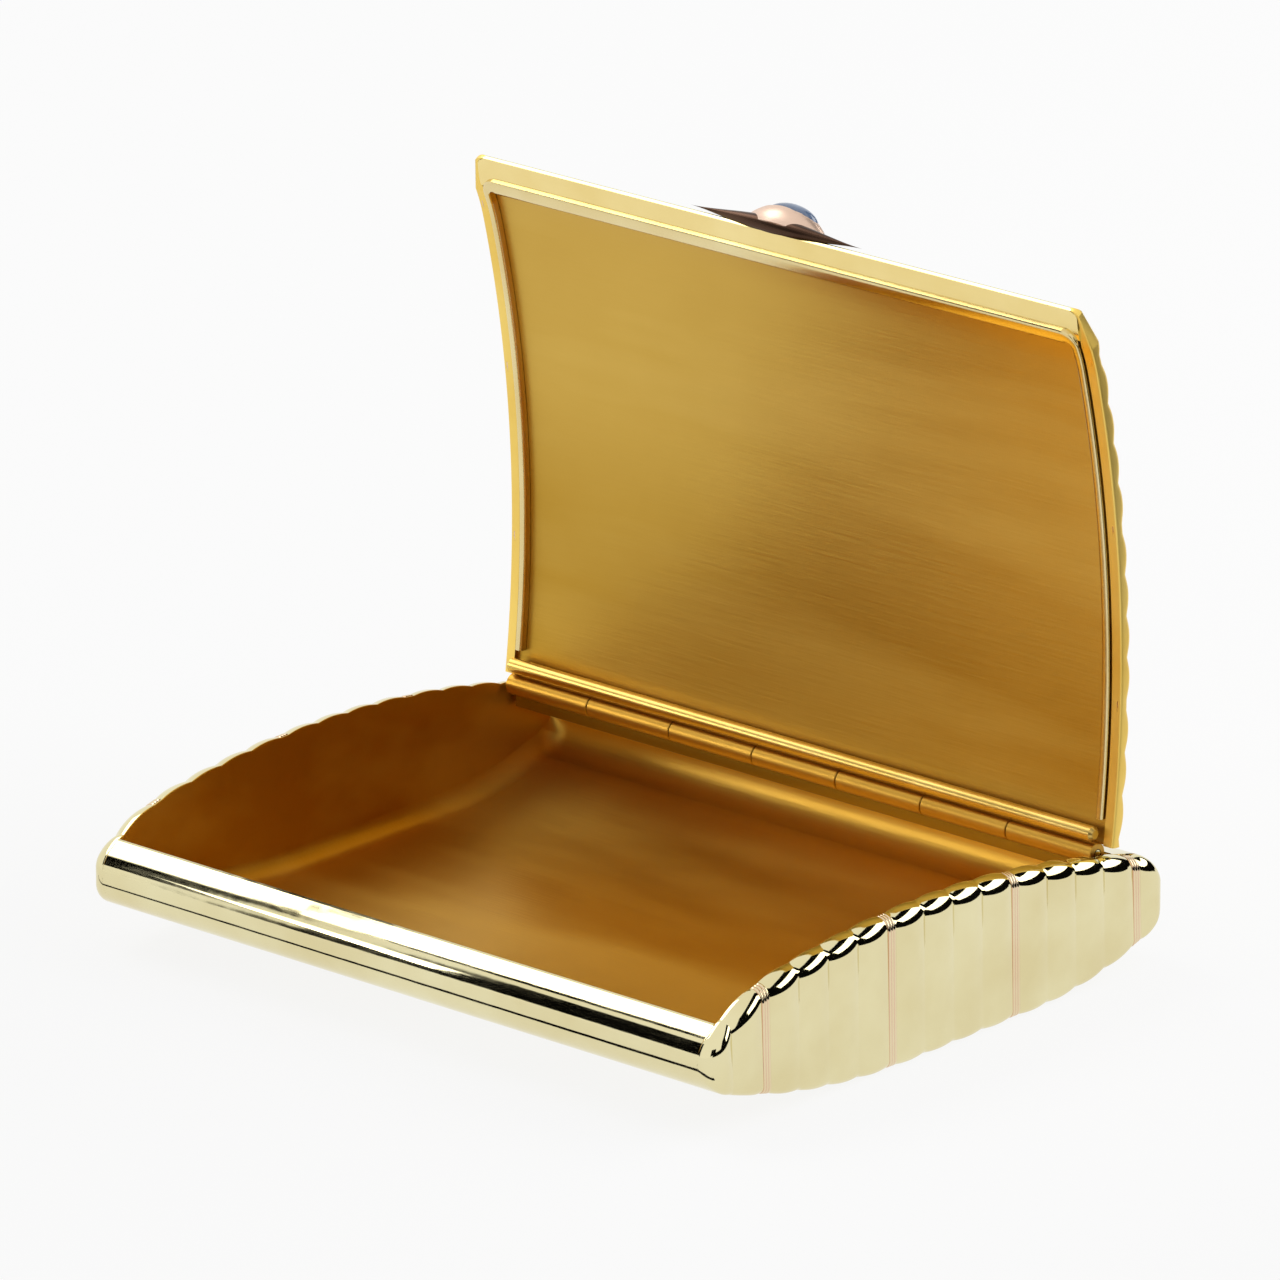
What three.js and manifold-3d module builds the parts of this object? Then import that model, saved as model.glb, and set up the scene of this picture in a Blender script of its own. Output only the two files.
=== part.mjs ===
// A hinged cigarette case in two colours of gold: a shallow tray with arched, reeded ends,
// an arched lid that stands open on a knuckle hinge, rose gold bands let in between the groups
// of reeds, and a thumb-piece on the lid's free edge.
// Millimetres. X runs along the hinge, Y from the front rail to the rear shoulder, Z is up.
// The origin is under the middle of the tray, on the surface that it stands on.

import * as THREE from 'three';
import { mergeVertices } from 'three/addons/utils/BufferGeometryUtils.js';
import Module from 'manifold-3d';

const wasm = await Module();
wasm.setup();

// Overall size
const LENGTH = 95;
const DEPTH = 78.8;

// Arch of the rim, where lid and tray part; towards the front it dips on a tighter radius
const RIM_HEIGHT = 18.3;
const RIM_RADIUS = 150;
const RIM_PEAK_Y = -3;
const RIM_DIP_SETBACK = 11.4;
const RIM_DIP_RADIUS = 22;
const PARTING_GAP = 0.3;

// Tray
const FLOOR_WALL = 1.2;
const END_WALL = 2;
const SHOULDER_RADIUS = 5.2;
const SHOULDER_WALL = 1.5;
const FLAT_FRONT_SETBACK = 33.4;
const FLAT_REAR_SETBACK = 23.4;
const FRONT_LOWER_RADIUS = 4.4;
const FRONT_WALL_FLAT = 0.6;
const FRONT_RAIL_WIDTH = 3;
const FRONT_RAIL_RADIUS = 2.4;
const LID_SEAT_DROP = 0.9;
const LID_SEAT_OVERLAP = 1.2;
const FLOOR_FILLET = 3;
const CORNER_RADIUS = 2.2;

// Lid
const LID_THICKNESS = 1.9;
const LID_WALL = 0.9;
const LID_SIDE_WALL = 1.4;
const LID_FRONT_SETBACK = 3.4;
const LID_END_SETBACK = 1;
const LID_REAR_SETBACK = 0.9;
const LID_EDGE_RADIUS = 0.8;
const LID_LAND = 2.6;
const LID_OPEN_ANGLE = 85;

// Lip inside the lid, which slips into the tray
const LIP_THICKNESS = 1;
const LIP_FRONT_WIDTH = 1.8;
const LIP_DROP = 0.8;
const LIP_CLEARANCE = 0.3;
const LIP_REAR_SETBACK = 6.8;

// Reeds and the rose gold bands between them
const REED_HEIGHT = 0.5;
const REEDS_PER_GROUP = 4;
const BAND_COUNT = 4;
const LID_BAND_COUNT = 3;
const BAND_WIDTH = 1.6;
const FIRST_BAND_SETBACK = 9.4;
const LAST_BAND_SETBACK = 5.2;
const BAND_SUNK = 0.15;
const INLAY_GAP = 0.3;

// Hinge
const HINGE_SETBACK = 9.4;
const HINGE_DROP = 0.1;
const KNUCKLE_RADIUS = 1.3;
const KNUCKLE_COUNT = 7;
const KNUCKLE_END_GAP = 0.8;
const PIN_RADIUS = 0.5;
const PLUG_LENGTH = 1.5;
const HINGE_GAP = 0.3;
const LID_LEAF_RADIUS = 0.9;
const LID_LEAF_ANGLE = 5;
const BASE_LEAF_THICKNESS = 0.9;
const BASE_LEAF_HEIGHT = 2.2;

// Thumb-piece on the free edge
const THUMB_LENGTH = 18;
const THUMB_RADIUS = 3;
const THUMB_SETBACK = 0.8;
const THUMB_RISE = 1.3;
const THUMB_STRIP_LENGTH = 31;
const THUMB_STRIP_RADIUS = 0.9;
const THUMB_STRIP_RISE = 0.4;
const SPINDLE_FULLNESS = 0.8;
const SEAT_RADIUS = 1.5;
const SEAT_TILT = 30;
const SEAT_GAP = 0.3;
const STONE_LENGTH = 9;
const STONE_WIDTH = 4.6;
const STONE_HEIGHT = 2;

// Fineness of the curves, and a reach past the whole case
const ARC_STEPS = 10;
const ROUND_SIDES = 20;
const REED_CREST = 0.24;
const REED_STATIONS = [-0.999, -0.62, -REED_CREST, REED_CREST, 0.62, 0.999];
const SEAM = 0.01;
const SAME_POINT = 1e-3;
const REACH = 60;

const radians = THREE.MathUtils.degToRad;
const frontY = -DEPTH / 2;
const rearY = DEPTH / 2;
const halfLength = LENGTH / 2;
const cavityHalf = halfLength - END_WALL;
const cavityFrontY = frontY + FRONT_RAIL_WIDTH;
const seatRearY = frontY + LID_FRONT_SETBACK + LID_SEAT_OVERLAP;
const flatFrontY = frontY + FLAT_FRONT_SETBACK;
const flatRearY = rearY - FLAT_REAR_SETBACK;

const yellowGold = { color: 0xdcc98a, metalness: 1, roughness: 0.14 };
const giltInside = { color: 0xb07a26, metalness: 1, roughness: 0.38 };
const roseGold = { color: 0xd9a184, metalness: 1, roughness: 0.2 };
const stoneBlue = { color: 0x5a6d8c, metalness: 0, roughness: 0.08 };

// Closed meshes to solids and back

function solid(geometry) {
  const bare = geometry.index ? geometry.toNonIndexed() : geometry.clone();
  bare.deleteAttribute('normal');
  bare.deleteAttribute('uv');
  const merged = mergeVertices(bare, 1e-4);
  return new wasm.Manifold(new wasm.Mesh({
    numProp: 3,
    vertProperties: Float32Array.from(merged.attributes.position.array),
    triVerts: Uint32Array.from(merged.index.array),
  }));
}

function geometryOf(body) {
  const mesh = body.getMesh();
  const geometry = new THREE.BufferGeometry();
  geometry.setAttribute('position', new THREE.BufferAttribute(Float32Array.from(mesh.vertProperties), 3));
  geometry.setIndex(new THREE.BufferAttribute(Uint32Array.from(mesh.triVerts), 1));
  geometry.computeVertexNormals();
  return geometry;
}

function piece(name, geometry, finish) {
  const mesh = new THREE.Mesh(geometry, new THREE.MeshStandardMaterial(finish));
  mesh.name = name;
  return mesh;
}

// An outline without points that fall on the next one
function distinct(points) {
  const vectors = points.map(([across, along]) => new THREE.Vector2(across, along));
  return vectors.filter((at, i) => at.distanceTo(vectors[(i + 1) % vectors.length]) > SAME_POINT);
}

// A section drawn in Y and Z, run along X
function alongX(points, fromX, toX) {
  const shape = new THREE.Shape(distinct(points));
  const geometry = new THREE.ExtrudeGeometry(shape, { depth: toX - fromX, bevelEnabled: false });
  const toWorld = new THREE.Matrix4().makeBasis(
    new THREE.Vector3(0, 1, 0),
    new THREE.Vector3(0, 0, 1),
    new THREE.Vector3(1, 0, 0),
  );
  geometry.applyMatrix4(toWorld);
  geometry.translate(fromX, 0, 0);
  return geometry;
}

// A plan drawn in X and Y, raised along Z
function upZ(points) {
  const shape = new THREE.Shape(distinct(points));
  const geometry = new THREE.ExtrudeGeometry(shape, { depth: 2 * REACH, bevelEnabled: false });
  geometry.translate(0, 0, -REACH);
  return geometry;
}

function slab(centreY, width) {
  const geometry = new THREE.BoxGeometry(2 * LENGTH, width, 2 * REACH);
  geometry.translate(0, centreY, 0);
  return solid(geometry);
}

function arc([y, z], radius, fromAngle, toAngle, steps = ARC_STEPS) {
  return Array.from({ length: steps + 1 }, (_, i) => {
    const angle = fromAngle + ((toAngle - fromAngle) * i) / steps;
    return [y + radius * Math.cos(angle), z + radius * Math.sin(angle)];
  });
}

function curve(fromY, toY, height, steps = 2 * ARC_STEPS) {
  return Array.from({ length: steps + 1 }, (_, i) => {
    const y = fromY + ((toY - fromY) * i) / steps;
    return [y, height(y)];
  });
}

const angleFrom = ([y, z], [toY, toZ]) => Math.atan2(toZ - z, toY - y);

// The rim, and the curves that run beside it at a constant distance

const rimCentre = [RIM_PEAK_Y, RIM_HEIGHT - RIM_RADIUS];
const dipY = frontY + RIM_DIP_SETBACK;
const dipAngle = Math.acos((dipY - rimCentre[0]) / RIM_RADIUS);
const dipCentre = [
  dipY - RIM_DIP_RADIUS * Math.cos(dipAngle),
  rimCentre[1] + (RIM_RADIUS - RIM_DIP_RADIUS) * Math.sin(dipAngle),
];

function rimOffset(y, offset) {
  const onDip = y < dipY + offset * Math.cos(dipAngle);
  const [centreY, centreZ] = onDip ? dipCentre : rimCentre;
  const radius = (onDip ? RIM_DIP_RADIUS : RIM_RADIUS) + offset;
  return centreZ + Math.sqrt(radius ** 2 - (y - centreY) ** 2);
}

const lidOffset = PARTING_GAP + LID_THICKNESS;
const rimHeight = (y) => rimOffset(y, 0);
const partingHeight = (y) => rimOffset(y, PARTING_GAP);
const lidHeight = (y) => rimOffset(y, lidOffset);
const lidUnderside = (y) => rimOffset(y, lidOffset - LID_WALL - REED_HEIGHT);
const hinge = { y: rearY - HINGE_SETBACK };
hinge.z = rimHeight(hinge.y) - HINGE_DROP;

// Reeds: each is a shallow convex strip, and the bands lie in the gaps between their groups

const grooveWidth = BAND_WIDTH + 2 * INLAY_GAP;
const bandPeriod = (DEPTH - FIRST_BAND_SETBACK - LAST_BAND_SETBACK) / (BAND_COUNT - 1);
const reedPitch = (bandPeriod - grooveWidth) / REEDS_PER_GROUP;
const bandY = (i) => frontY + FIRST_BAND_SETBACK + i * bandPeriod;
const reedFrontY = bandY(0) - grooveWidth / 2;
const reedRearY = bandY(BAND_COUNT - 1) + grooveWidth / 2;

// Stations across one reed, as [y, depth under the crest]
function reedAt(middleY) {
  return REED_STATIONS.map((across) => {
    const rise = Math.min(1, (1 - across ** 2) / (1 - REED_CREST ** 2));
    return [middleY + (across * reedPitch) / 2, REED_HEIGHT * (1 - rise)];
  });
}

function reedStations() {
  const stations = [];
  for (let band = 0; band < BAND_COUNT; band += 1) {
    stations.push([bandY(band) - grooveWidth / 2, REED_HEIGHT], [bandY(band) + grooveWidth / 2, REED_HEIGHT]);
    if (band === BAND_COUNT - 1) break;
    for (let reed = 0; reed < REEDS_PER_GROUP; reed += 1) {
      stations.push(...reedAt(bandY(band) + grooveWidth / 2 + (reed + 0.5) * reedPitch));
    }
  }
  return stations;
}

const reeded = reedStations();
const endReeded = [...reedAt(reedFrontY - reedPitch / 2), ...reeded];
const sunk = (depth) => reeded.map(([y]) => [y, depth]);

// A plan with reeds across both ends and rounded corners

function planOutline(half, front, stations) {
  const corner = half - CORNER_RADIUS;
  const right = [
    ...arc([corner, front + CORNER_RADIUS], CORNER_RADIUS, -Math.PI / 2, 0, ARC_STEPS / 2),
    [half, stations[0][0] - SEAM],
    ...stations.map(([y, depth]) => [half - depth, y]),
    [half, stations[stations.length - 1][0] + SEAM],
    ...arc([corner, rearY - CORNER_RADIUS], CORNER_RADIUS, 0, Math.PI / 2, ARC_STEPS / 2),
  ];
  const left = right.map(([x, y]) => [-x, y]).reverse();
  return [...right, ...left];
}

// Section of the tray. Its curves run into each other without a corner.

// Height of a circle that touches a larger one from inside
function touchingHeight(y, radius, [outerY, outerZ], outerRadius) {
  return outerZ + Math.sqrt((outerRadius - radius) ** 2 - (y - outerY) ** 2);
}

const shoulderY = rearY - SHOULDER_RADIUS;
const shoulder = [shoulderY, touchingHeight(shoulderY, SHOULDER_RADIUS, rimCentre, RIM_RADIUS)];
const railY = frontY + FRONT_RAIL_RADIUS;
const frontRail = [railY, touchingHeight(railY, FRONT_RAIL_RADIUS, dipCentre, RIM_DIP_RADIUS)];
const frontLower = [frontY + FRONT_LOWER_RADIUS, frontRail[1] - FRONT_WALL_FLAT];
const rimTouchAngle = angleFrom(rimCentre, shoulder);
const rimTouchY = rimCentre[0] + RIM_RADIUS * Math.cos(rimTouchAngle);
const railTouchAngle = angleFrom(dipCentre, frontRail);
const railTouchY = dipCentre[0] + RIM_DIP_RADIUS * Math.cos(railTouchAngle);

// Radius of the arc that leaves the flat underside at flatY and runs into a circle
function sweepRadius(flatY, [y, z], radius) {
  return ((y - flatY) ** 2 + z ** 2 - radius ** 2) / (2 * (z - radius));
}

function sweepTouch(flatY, sweep, [y, z]) {
  return flatY + (sweep * (y - flatY)) / Math.hypot(y - flatY, z - sweep);
}

const frontSweep = sweepRadius(flatFrontY, frontLower, FRONT_LOWER_RADIUS);
const rearSweep = sweepRadius(flatRearY, shoulder, SHOULDER_RADIUS);
const frontTouchY = sweepTouch(flatFrontY, frontSweep, frontLower);
const rearTouchY = sweepTouch(flatRearY, rearSweep, shoulder);
const circleUnderside = (y, [circleY, circleZ], radius) => circleZ - Math.sqrt(radius ** 2 - (y - circleY) ** 2);

function undersideHeight(y) {
  if (y < frontTouchY) return circleUnderside(y, frontLower, FRONT_LOWER_RADIUS);
  if (y < flatFrontY) return circleUnderside(y, [flatFrontY, frontSweep], frontSweep);
  if (y < flatRearY) return 0;
  if (y < rearTouchY) return circleUnderside(y, [flatRearY, rearSweep], rearSweep);
  return circleUnderside(y, shoulder, SHOULDER_RADIUS);
}

function traySection(stations) {
  const lowerEnd = angleFrom(frontLower, [frontTouchY, undersideHeight(frontTouchY)]) + 2 * Math.PI;
  const shoulderStartY = Math.max(reedRearY, rearTouchY);
  const shoulderStart = angleFrom(shoulder, [shoulderStartY, undersideHeight(shoulderStartY)]);
  return [
    ...arc(frontLower, FRONT_LOWER_RADIUS, Math.PI, lowerEnd),
    ...curve(frontTouchY, reedFrontY - SEAM, undersideHeight, ARC_STEPS).slice(1),
    ...stations.map(([y, depth]) => [y, undersideHeight(y) + depth]),
    ...arc(shoulder, SHOULDER_RADIUS, shoulderStart, rimTouchAngle, 2 * ARC_STEPS),
    ...curve(rimTouchY, railTouchY, rimHeight, 3 * ARC_STEPS).slice(1),
    ...arc(frontRail, FRONT_RAIL_RADIUS, railTouchAngle, Math.PI).slice(1),
  ];
}

const floorWall = FLOOR_WALL + REED_HEIGHT;
const shoulderInner = SHOULDER_RADIUS - SHOULDER_WALL;
const openingRearY = hinge.y + KNUCKLE_RADIUS + HINGE_GAP;

function traySpace() {
  const seatHeight = rimHeight(cavityFrontY) - LID_SEAT_DROP;
  const floorFrontY = seatRearY + FLOOR_FILLET;
  const floorStart = undersideHeight(floorFrontY) + floorWall;
  const blend = shoulder[1] - shoulderInner - undersideHeight(shoulderY) - floorWall;
  const floor = curve(floorFrontY, shoulderY, (y) => {
    const share = Math.max(0, (y - flatRearY) / (shoulderY - flatRearY));
    return undersideHeight(y) + floorWall + blend * share;
  });
  return [
    [cavityFrontY, REACH],
    [cavityFrontY, seatHeight],
    [seatRearY, seatHeight],
    ...arc([floorFrontY, floorStart + FLOOR_FILLET], FLOOR_FILLET, Math.PI, 1.5 * Math.PI, ARC_STEPS / 2),
    ...floor.slice(1, -1),
    ...arc(shoulder, shoulderInner, -Math.PI / 2, rimTouchAngle, 2 * ARC_STEPS),
    [openingRearY, rimHeight(openingRearY) - SHOULDER_WALL],
    [openingRearY, REACH],
  ];
}

// What lies more than depth under the reeds' crests: surface gives the crests' height, and the
// body runs on past the parting, down or up to farZ
function core(depth, surface, farZ, half) {
  const inward = Math.sign(farZ);
  const stations = sunk(depth);
  const section = alongX([
    ...stations.map(([y]) => [y, surface(y) + inward * depth]),
    [reedRearY, farZ],
    [reedFrontY, farZ],
  ], -LENGTH, LENGTH);
  return solid(section).intersect(solid(upZ(planOutline(half, frontY, stations))));
}

const groove = (i, bed) => slab(bandY(i), grooveWidth).subtract(bed);
const inlay = (i, face, bed) => slab(bandY(i), BAND_WIDTH).intersect(face).subtract(bed);

const caseGroup = new THREE.Group();

// The tray
const basePlan = solid(upZ(planOutline(halfLength, frontY, endReeded)));
let baseBody = solid(alongX(traySection(reeded), -LENGTH, LENGTH)).intersect(basePlan);
baseBody = baseBody.subtract(solid(alongX(traySpace(), -cavityHalf, cavityHalf)));
const baseCore = core(REED_HEIGHT + INLAY_GAP, undersideHeight, REACH, halfLength);
for (let i = 0; i < BAND_COUNT; i += 1) {
  baseBody = baseBody.subtract(groove(i, baseCore));
}
caseGroup.add(piece('base_shell', geometryOf(baseBody), yellowGold));

const bandFace = (section, half) => {
  const plan = solid(upZ(planOutline(half, frontY, sunk(BAND_SUNK))));
  return solid(alongX(section(sunk(BAND_SUNK)), -LENGTH, LENGTH)).intersect(plan);
};
const baseFace = bandFace(traySection, halfLength);
const baseBed = core(REED_HEIGHT, undersideHeight, REACH, halfLength);
for (let i = 0; i < BAND_COUNT; i += 1) {
  caseGroup.add(piece(`base_band_${i + 1}`, geometryOf(inlay(i, baseFace, baseBed)), roseGold));
}

// The lid, drawn shut
const lidGroup = new THREE.Group();
lidGroup.position.set(0, hinge.y, hinge.z);
lidGroup.rotation.x = -radians(LID_OPEN_ANGLE);
caseGroup.add(lidGroup);

function addToLid(name, geometry, finish) {
  geometry.translate(0, -hinge.y, -hinge.z);
  lidGroup.add(piece(name, geometry, finish));
}

const lidRearY = hinge.y - LID_REAR_SETBACK;
const lidFrontY = frontY + LID_FRONT_SETBACK;
const lidHalf = halfLength - LID_END_SETBACK;
const lidCavityHalf = lidHalf - LID_SIDE_WALL;
const lidCavityFrontY = lidFrontY + LID_LAND;

// The free edge is cut square to the arch, and its outer corner is rounded
const edgeAngle = angleFrom(dipCentre, [lidFrontY, partingHeight(lidFrontY)]);
const outerRadius = RIM_DIP_RADIUS + lidOffset;
const cornerReach = outerRadius - LID_EDGE_RADIUS;
const cornerAngle = edgeAngle - Math.asin(LID_EDGE_RADIUS / cornerReach);
const edgeCorner = [
  dipCentre[0] + cornerReach * Math.cos(cornerAngle),
  dipCentre[1] + cornerReach * Math.sin(cornerAngle),
];
const cornerTopY = dipCentre[0] + outerRadius * Math.cos(cornerAngle);

function lidSection(stations) {
  const overLid = stations.filter(([y]) => y < lidRearY).reverse();
  return [
    ...curve(lidFrontY, lidRearY, partingHeight, 3 * ARC_STEPS),
    [lidRearY, lidHeight(lidRearY)],
    ...overLid.map(([y, depth]) => [y, lidHeight(y) - depth]),
    ...curve(reedFrontY - SEAM, cornerTopY, lidHeight, ARC_STEPS),
    ...arc(edgeCorner, LID_EDGE_RADIUS, cornerAngle, edgeAngle + Math.PI / 2, ARC_STEPS / 2).slice(1),
  ];
}

function lidSpace() {
  return [
    [lidCavityFrontY, -REACH],
    [hinge.y, -REACH],
    ...curve(hinge.y, lidCavityFrontY, lidUnderside),
  ];
}

// A round bar along the hinge line
function hingeBar(radius, fromX, toX, offsetY = 0, offsetZ = 0) {
  const outline = arc([hinge.y + offsetY, hinge.z + offsetZ], radius, 0, 2 * Math.PI, ROUND_SIDES).slice(1);
  return alongX(outline, fromX, toX);
}

const lidPlan = solid(upZ(planOutline(lidHalf, lidFrontY, reeded)));
let lidBody = solid(alongX(lidSection(reeded), -LENGTH, LENGTH)).intersect(lidPlan);
lidBody = lidBody.subtract(solid(alongX(lidSpace(), -lidCavityHalf, lidCavityHalf)));
lidBody = lidBody.subtract(solid(hingeBar(KNUCKLE_RADIUS + HINGE_GAP, -LENGTH, LENGTH)));
const lidCore = core(REED_HEIGHT + INLAY_GAP, lidHeight, -REACH, lidHalf);
for (let i = 0; i < LID_BAND_COUNT; i += 1) {
  lidBody = lidBody.subtract(groove(i, lidCore));
}
addToLid('lid_shell', geometryOf(lidBody), yellowGold);

const lidFace = bandFace(lidSection, lidHalf);
const lidBed = core(REED_HEIGHT, lidHeight, -REACH, lidHalf);
for (let i = 0; i < LID_BAND_COUNT; i += 1) {
  addToLid(`lid_band_${i + 1}`, geometryOf(inlay(i, lidFace, lidBed)), roseGold);
}

// The lip runs round the front and the two sides
function lidLip() {
  const outerX = lidCavityHalf - LIP_CLEARANCE;
  const outerY = lidCavityFrontY + LIP_CLEARANCE;
  const innerX = outerX - LIP_THICKNESS;
  const innerY = outerY + LIP_FRONT_WIDTH;
  const endY = lidRearY - LIP_REAR_SETBACK;
  const strip = solid(upZ([
    [-outerX, outerY],
    [outerX, outerY],
    [outerX, endY],
    [innerX, endY],
    [innerX, innerY],
    [-innerX, innerY],
    [-innerX, endY],
    [-outerX, endY],
  ]));
  const depth = solid(alongX([
    ...curve(lidCavityFrontY, lidRearY, (y) => partingHeight(y) - LIP_DROP),
    ...curve(lidRearY, lidCavityFrontY, (y) => lidUnderside(y) - INLAY_GAP),
  ], -LENGTH, LENGTH));
  return geometryOf(strip.intersect(depth));
}
addToLid('lid_lip', lidLip(), yellowGold);

// The hinge: knuckles turn by turn on the tray and on the lid, round one pin

const knuckleSpan = 2 * (cavityHalf - KNUCKLE_END_GAP);
const knuckleLength = (knuckleSpan - (KNUCKLE_COUNT - 1) * HINGE_GAP) / KNUCKLE_COUNT;
const knuckleX = (i) => -knuckleSpan / 2 + i * (knuckleLength + HINGE_GAP);
const boreRadius = PIN_RADIUS + HINGE_GAP;

function knuckle(i) {
  const outline = [
    [boreRadius, 0],
    [KNUCKLE_RADIUS, 0],
    [KNUCKLE_RADIUS, knuckleLength],
    [boreRadius, knuckleLength],
    [boreRadius, 0],
  ];
  const geometry = new THREE.LatheGeometry(outline.map(([r, along]) => new THREE.Vector2(r, along)), ROUND_SIDES);
  geometry.rotateZ(-Math.PI / 2);
  geometry.translate(knuckleX(i), hinge.y, hinge.z);
  return geometryOf(solid(geometry));
}

for (let i = 0; i < KNUCKLE_COUNT; i += 1) {
  const number = Math.floor(i / 2) + 1;
  if (i % 2 === 0) caseGroup.add(piece(`base_knuckle_${number}`, knuckle(i), giltInside));
  else addToLid(`lid_knuckle_${number}`, knuckle(i), giltInside);
}

const pinHalf = knuckleSpan / 2 - PLUG_LENGTH - HINGE_GAP;
caseGroup.add(piece('hinge_pin', hingeBar(PIN_RADIUS, -pinHalf, pinHalf), yellowGold));
const plugFrom = knuckleSpan / 2 - PLUG_LENGTH;
caseGroup.add(piece('pin_plug_left', hingeBar(PIN_RADIUS, -knuckleSpan / 2, -plugFrom), yellowGold));
caseGroup.add(piece('pin_plug_right', hingeBar(PIN_RADIUS, plugFrom, knuckleSpan / 2), yellowGold));

const leafReach = KNUCKLE_RADIUS + HINGE_GAP + LID_LEAF_RADIUS;
const lidLeaf = hingeBar(
  LID_LEAF_RADIUS,
  -knuckleSpan / 2,
  knuckleSpan / 2,
  -leafReach * Math.cos(radians(LID_LEAF_ANGLE)),
  -leafReach * Math.sin(radians(LID_LEAF_ANGLE)),
);
addToLid('lid_hinge_leaf', lidLeaf, yellowGold);

// The tray's hinge strip stands under the knuckles, in front of the shoulder's edge
function baseLeaf() {
  const top = hinge.z - KNUCKLE_RADIUS - HINGE_GAP;
  const leafRearY = openingRearY - HINGE_GAP;
  const leafFrontY = leafRearY - BASE_LEAF_THICKNESS;
  return alongX([
    [leafFrontY, top - BASE_LEAF_HEIGHT],
    [leafRearY, top - BASE_LEAF_HEIGHT],
    [leafRearY, top],
    [leafFrontY, top],
  ], -knuckleSpan / 2, knuckleSpan / 2);
}
caseGroup.add(piece('base_hinge_leaf', baseLeaf(), giltInside));

// The thumb-piece: a spindle along the free edge, fitted to the lid, with a stone on a flat seat

const thumbY = lidFrontY + THUMB_SETBACK;
const thumbZ = lidHeight(thumbY) + THUMB_RISE;
const seatTurn = new THREE.Matrix4().makeRotationX(radians(SEAT_TILT));

// A spindle that tapers to a point at both ends
function spindle(length, radius, rise) {
  const steps = 2 * ARC_STEPS;
  const outline = Array.from({ length: steps + 1 }, (_, i) => {
    const along = length * (i / steps - 0.5);
    const swell = Math.sin((Math.PI * i) / steps) ** SPINDLE_FULLNESS;
    return new THREE.Vector2(i % steps === 0 ? 0 : radius * swell, along);
  });
  const geometry = new THREE.LatheGeometry(outline, ROUND_SIDES);
  geometry.rotateZ(-Math.PI / 2);
  geometry.translate(0, thumbY, lidHeight(thumbY) + rise);
  return solid(geometry);
}

function thumbMount() {
  const seat = new THREE.BoxGeometry(STONE_LENGTH + 2 * SEAT_GAP, REACH, REACH);
  seat.translate(0, 0, SEAT_RADIUS + REACH / 2);
  seat.applyMatrix4(seatTurn);
  seat.translate(0, thumbY, thumbZ);
  const lidRoomFrontY = lidFrontY - 2 * THUMB_RADIUS;
  const lidRoom = solid(alongX([
    [lidRoomFrontY, -REACH],
    [lidRearY, -REACH],
    ...curve(lidRearY, lidRoomFrontY, (y) => rimOffset(y, lidOffset + SEAT_GAP), 4 * ARC_STEPS),
  ], -LENGTH, LENGTH));
  const boss = spindle(THUMB_LENGTH, THUMB_RADIUS, THUMB_RISE).subtract(solid(seat));
  const strip = spindle(THUMB_STRIP_LENGTH, THUMB_STRIP_RADIUS, THUMB_STRIP_RISE);
  return geometryOf(boss.add(strip).subtract(lidRoom));
}
addToLid('thumbpiece_mount', thumbMount(), roseGold);

function thumbStone() {
  const dome = new THREE.SphereGeometry(1, ROUND_SIDES, ARC_STEPS);
  dome.scale(STONE_LENGTH / 2, STONE_WIDTH / 2, STONE_HEIGHT);
  const under = new THREE.BoxGeometry(REACH, REACH, REACH);
  under.translate(0, 0, -REACH / 2);
  const cabochon = geometryOf(solid(dome).subtract(solid(under)));
  cabochon.translate(0, 0, SEAT_RADIUS + SEAT_GAP);
  cabochon.applyMatrix4(seatTurn);
  cabochon.translate(0, thumbY, thumbZ);
  return cabochon;
}
addToLid('thumbpiece_stone', thumbStone(), stoneBlue);

export default caseGroup;
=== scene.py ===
# %% [markdown]
# # A reeded cigarette case in two colours of gold
# The case is a shallow tray with a hinged lid, shown open. Its ends, underside and lid are
# ribbed with shallow convex strips called reeds, and thin bands of rose gold lie between groups
# of reeds. The frame gives the solids with their true sizes. This lesson dresses them: it draws
# the same curves again, much finer, because polished metal shows every facet in its reflections.

# %% Load the frame
import math

import bpy
import numpy as np
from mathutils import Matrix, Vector


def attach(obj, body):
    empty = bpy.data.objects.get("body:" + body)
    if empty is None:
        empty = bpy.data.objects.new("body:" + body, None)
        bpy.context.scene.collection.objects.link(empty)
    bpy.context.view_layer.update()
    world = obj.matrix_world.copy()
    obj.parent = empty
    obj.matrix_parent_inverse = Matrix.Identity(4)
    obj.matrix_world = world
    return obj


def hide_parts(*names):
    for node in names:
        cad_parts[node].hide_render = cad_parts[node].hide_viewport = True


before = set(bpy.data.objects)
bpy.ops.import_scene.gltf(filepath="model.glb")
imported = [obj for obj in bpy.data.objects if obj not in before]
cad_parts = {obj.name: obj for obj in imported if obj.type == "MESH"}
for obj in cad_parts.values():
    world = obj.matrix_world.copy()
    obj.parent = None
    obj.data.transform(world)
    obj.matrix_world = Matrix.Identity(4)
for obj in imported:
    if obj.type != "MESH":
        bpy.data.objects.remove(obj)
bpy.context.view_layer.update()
MM = 0.001

# %% [markdown]
# ## The curves of the case
# Every section of the case is made of arcs that run into each other without a corner. They could
# be drawn as Bezier curves, but then each reed would need its own handles. Here each curve is a
# function of y, the way from the front rail to the rear shoulder, so that any number of slices
# can be taken from it. Sizes are in millimetres until a mesh is made.

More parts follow.
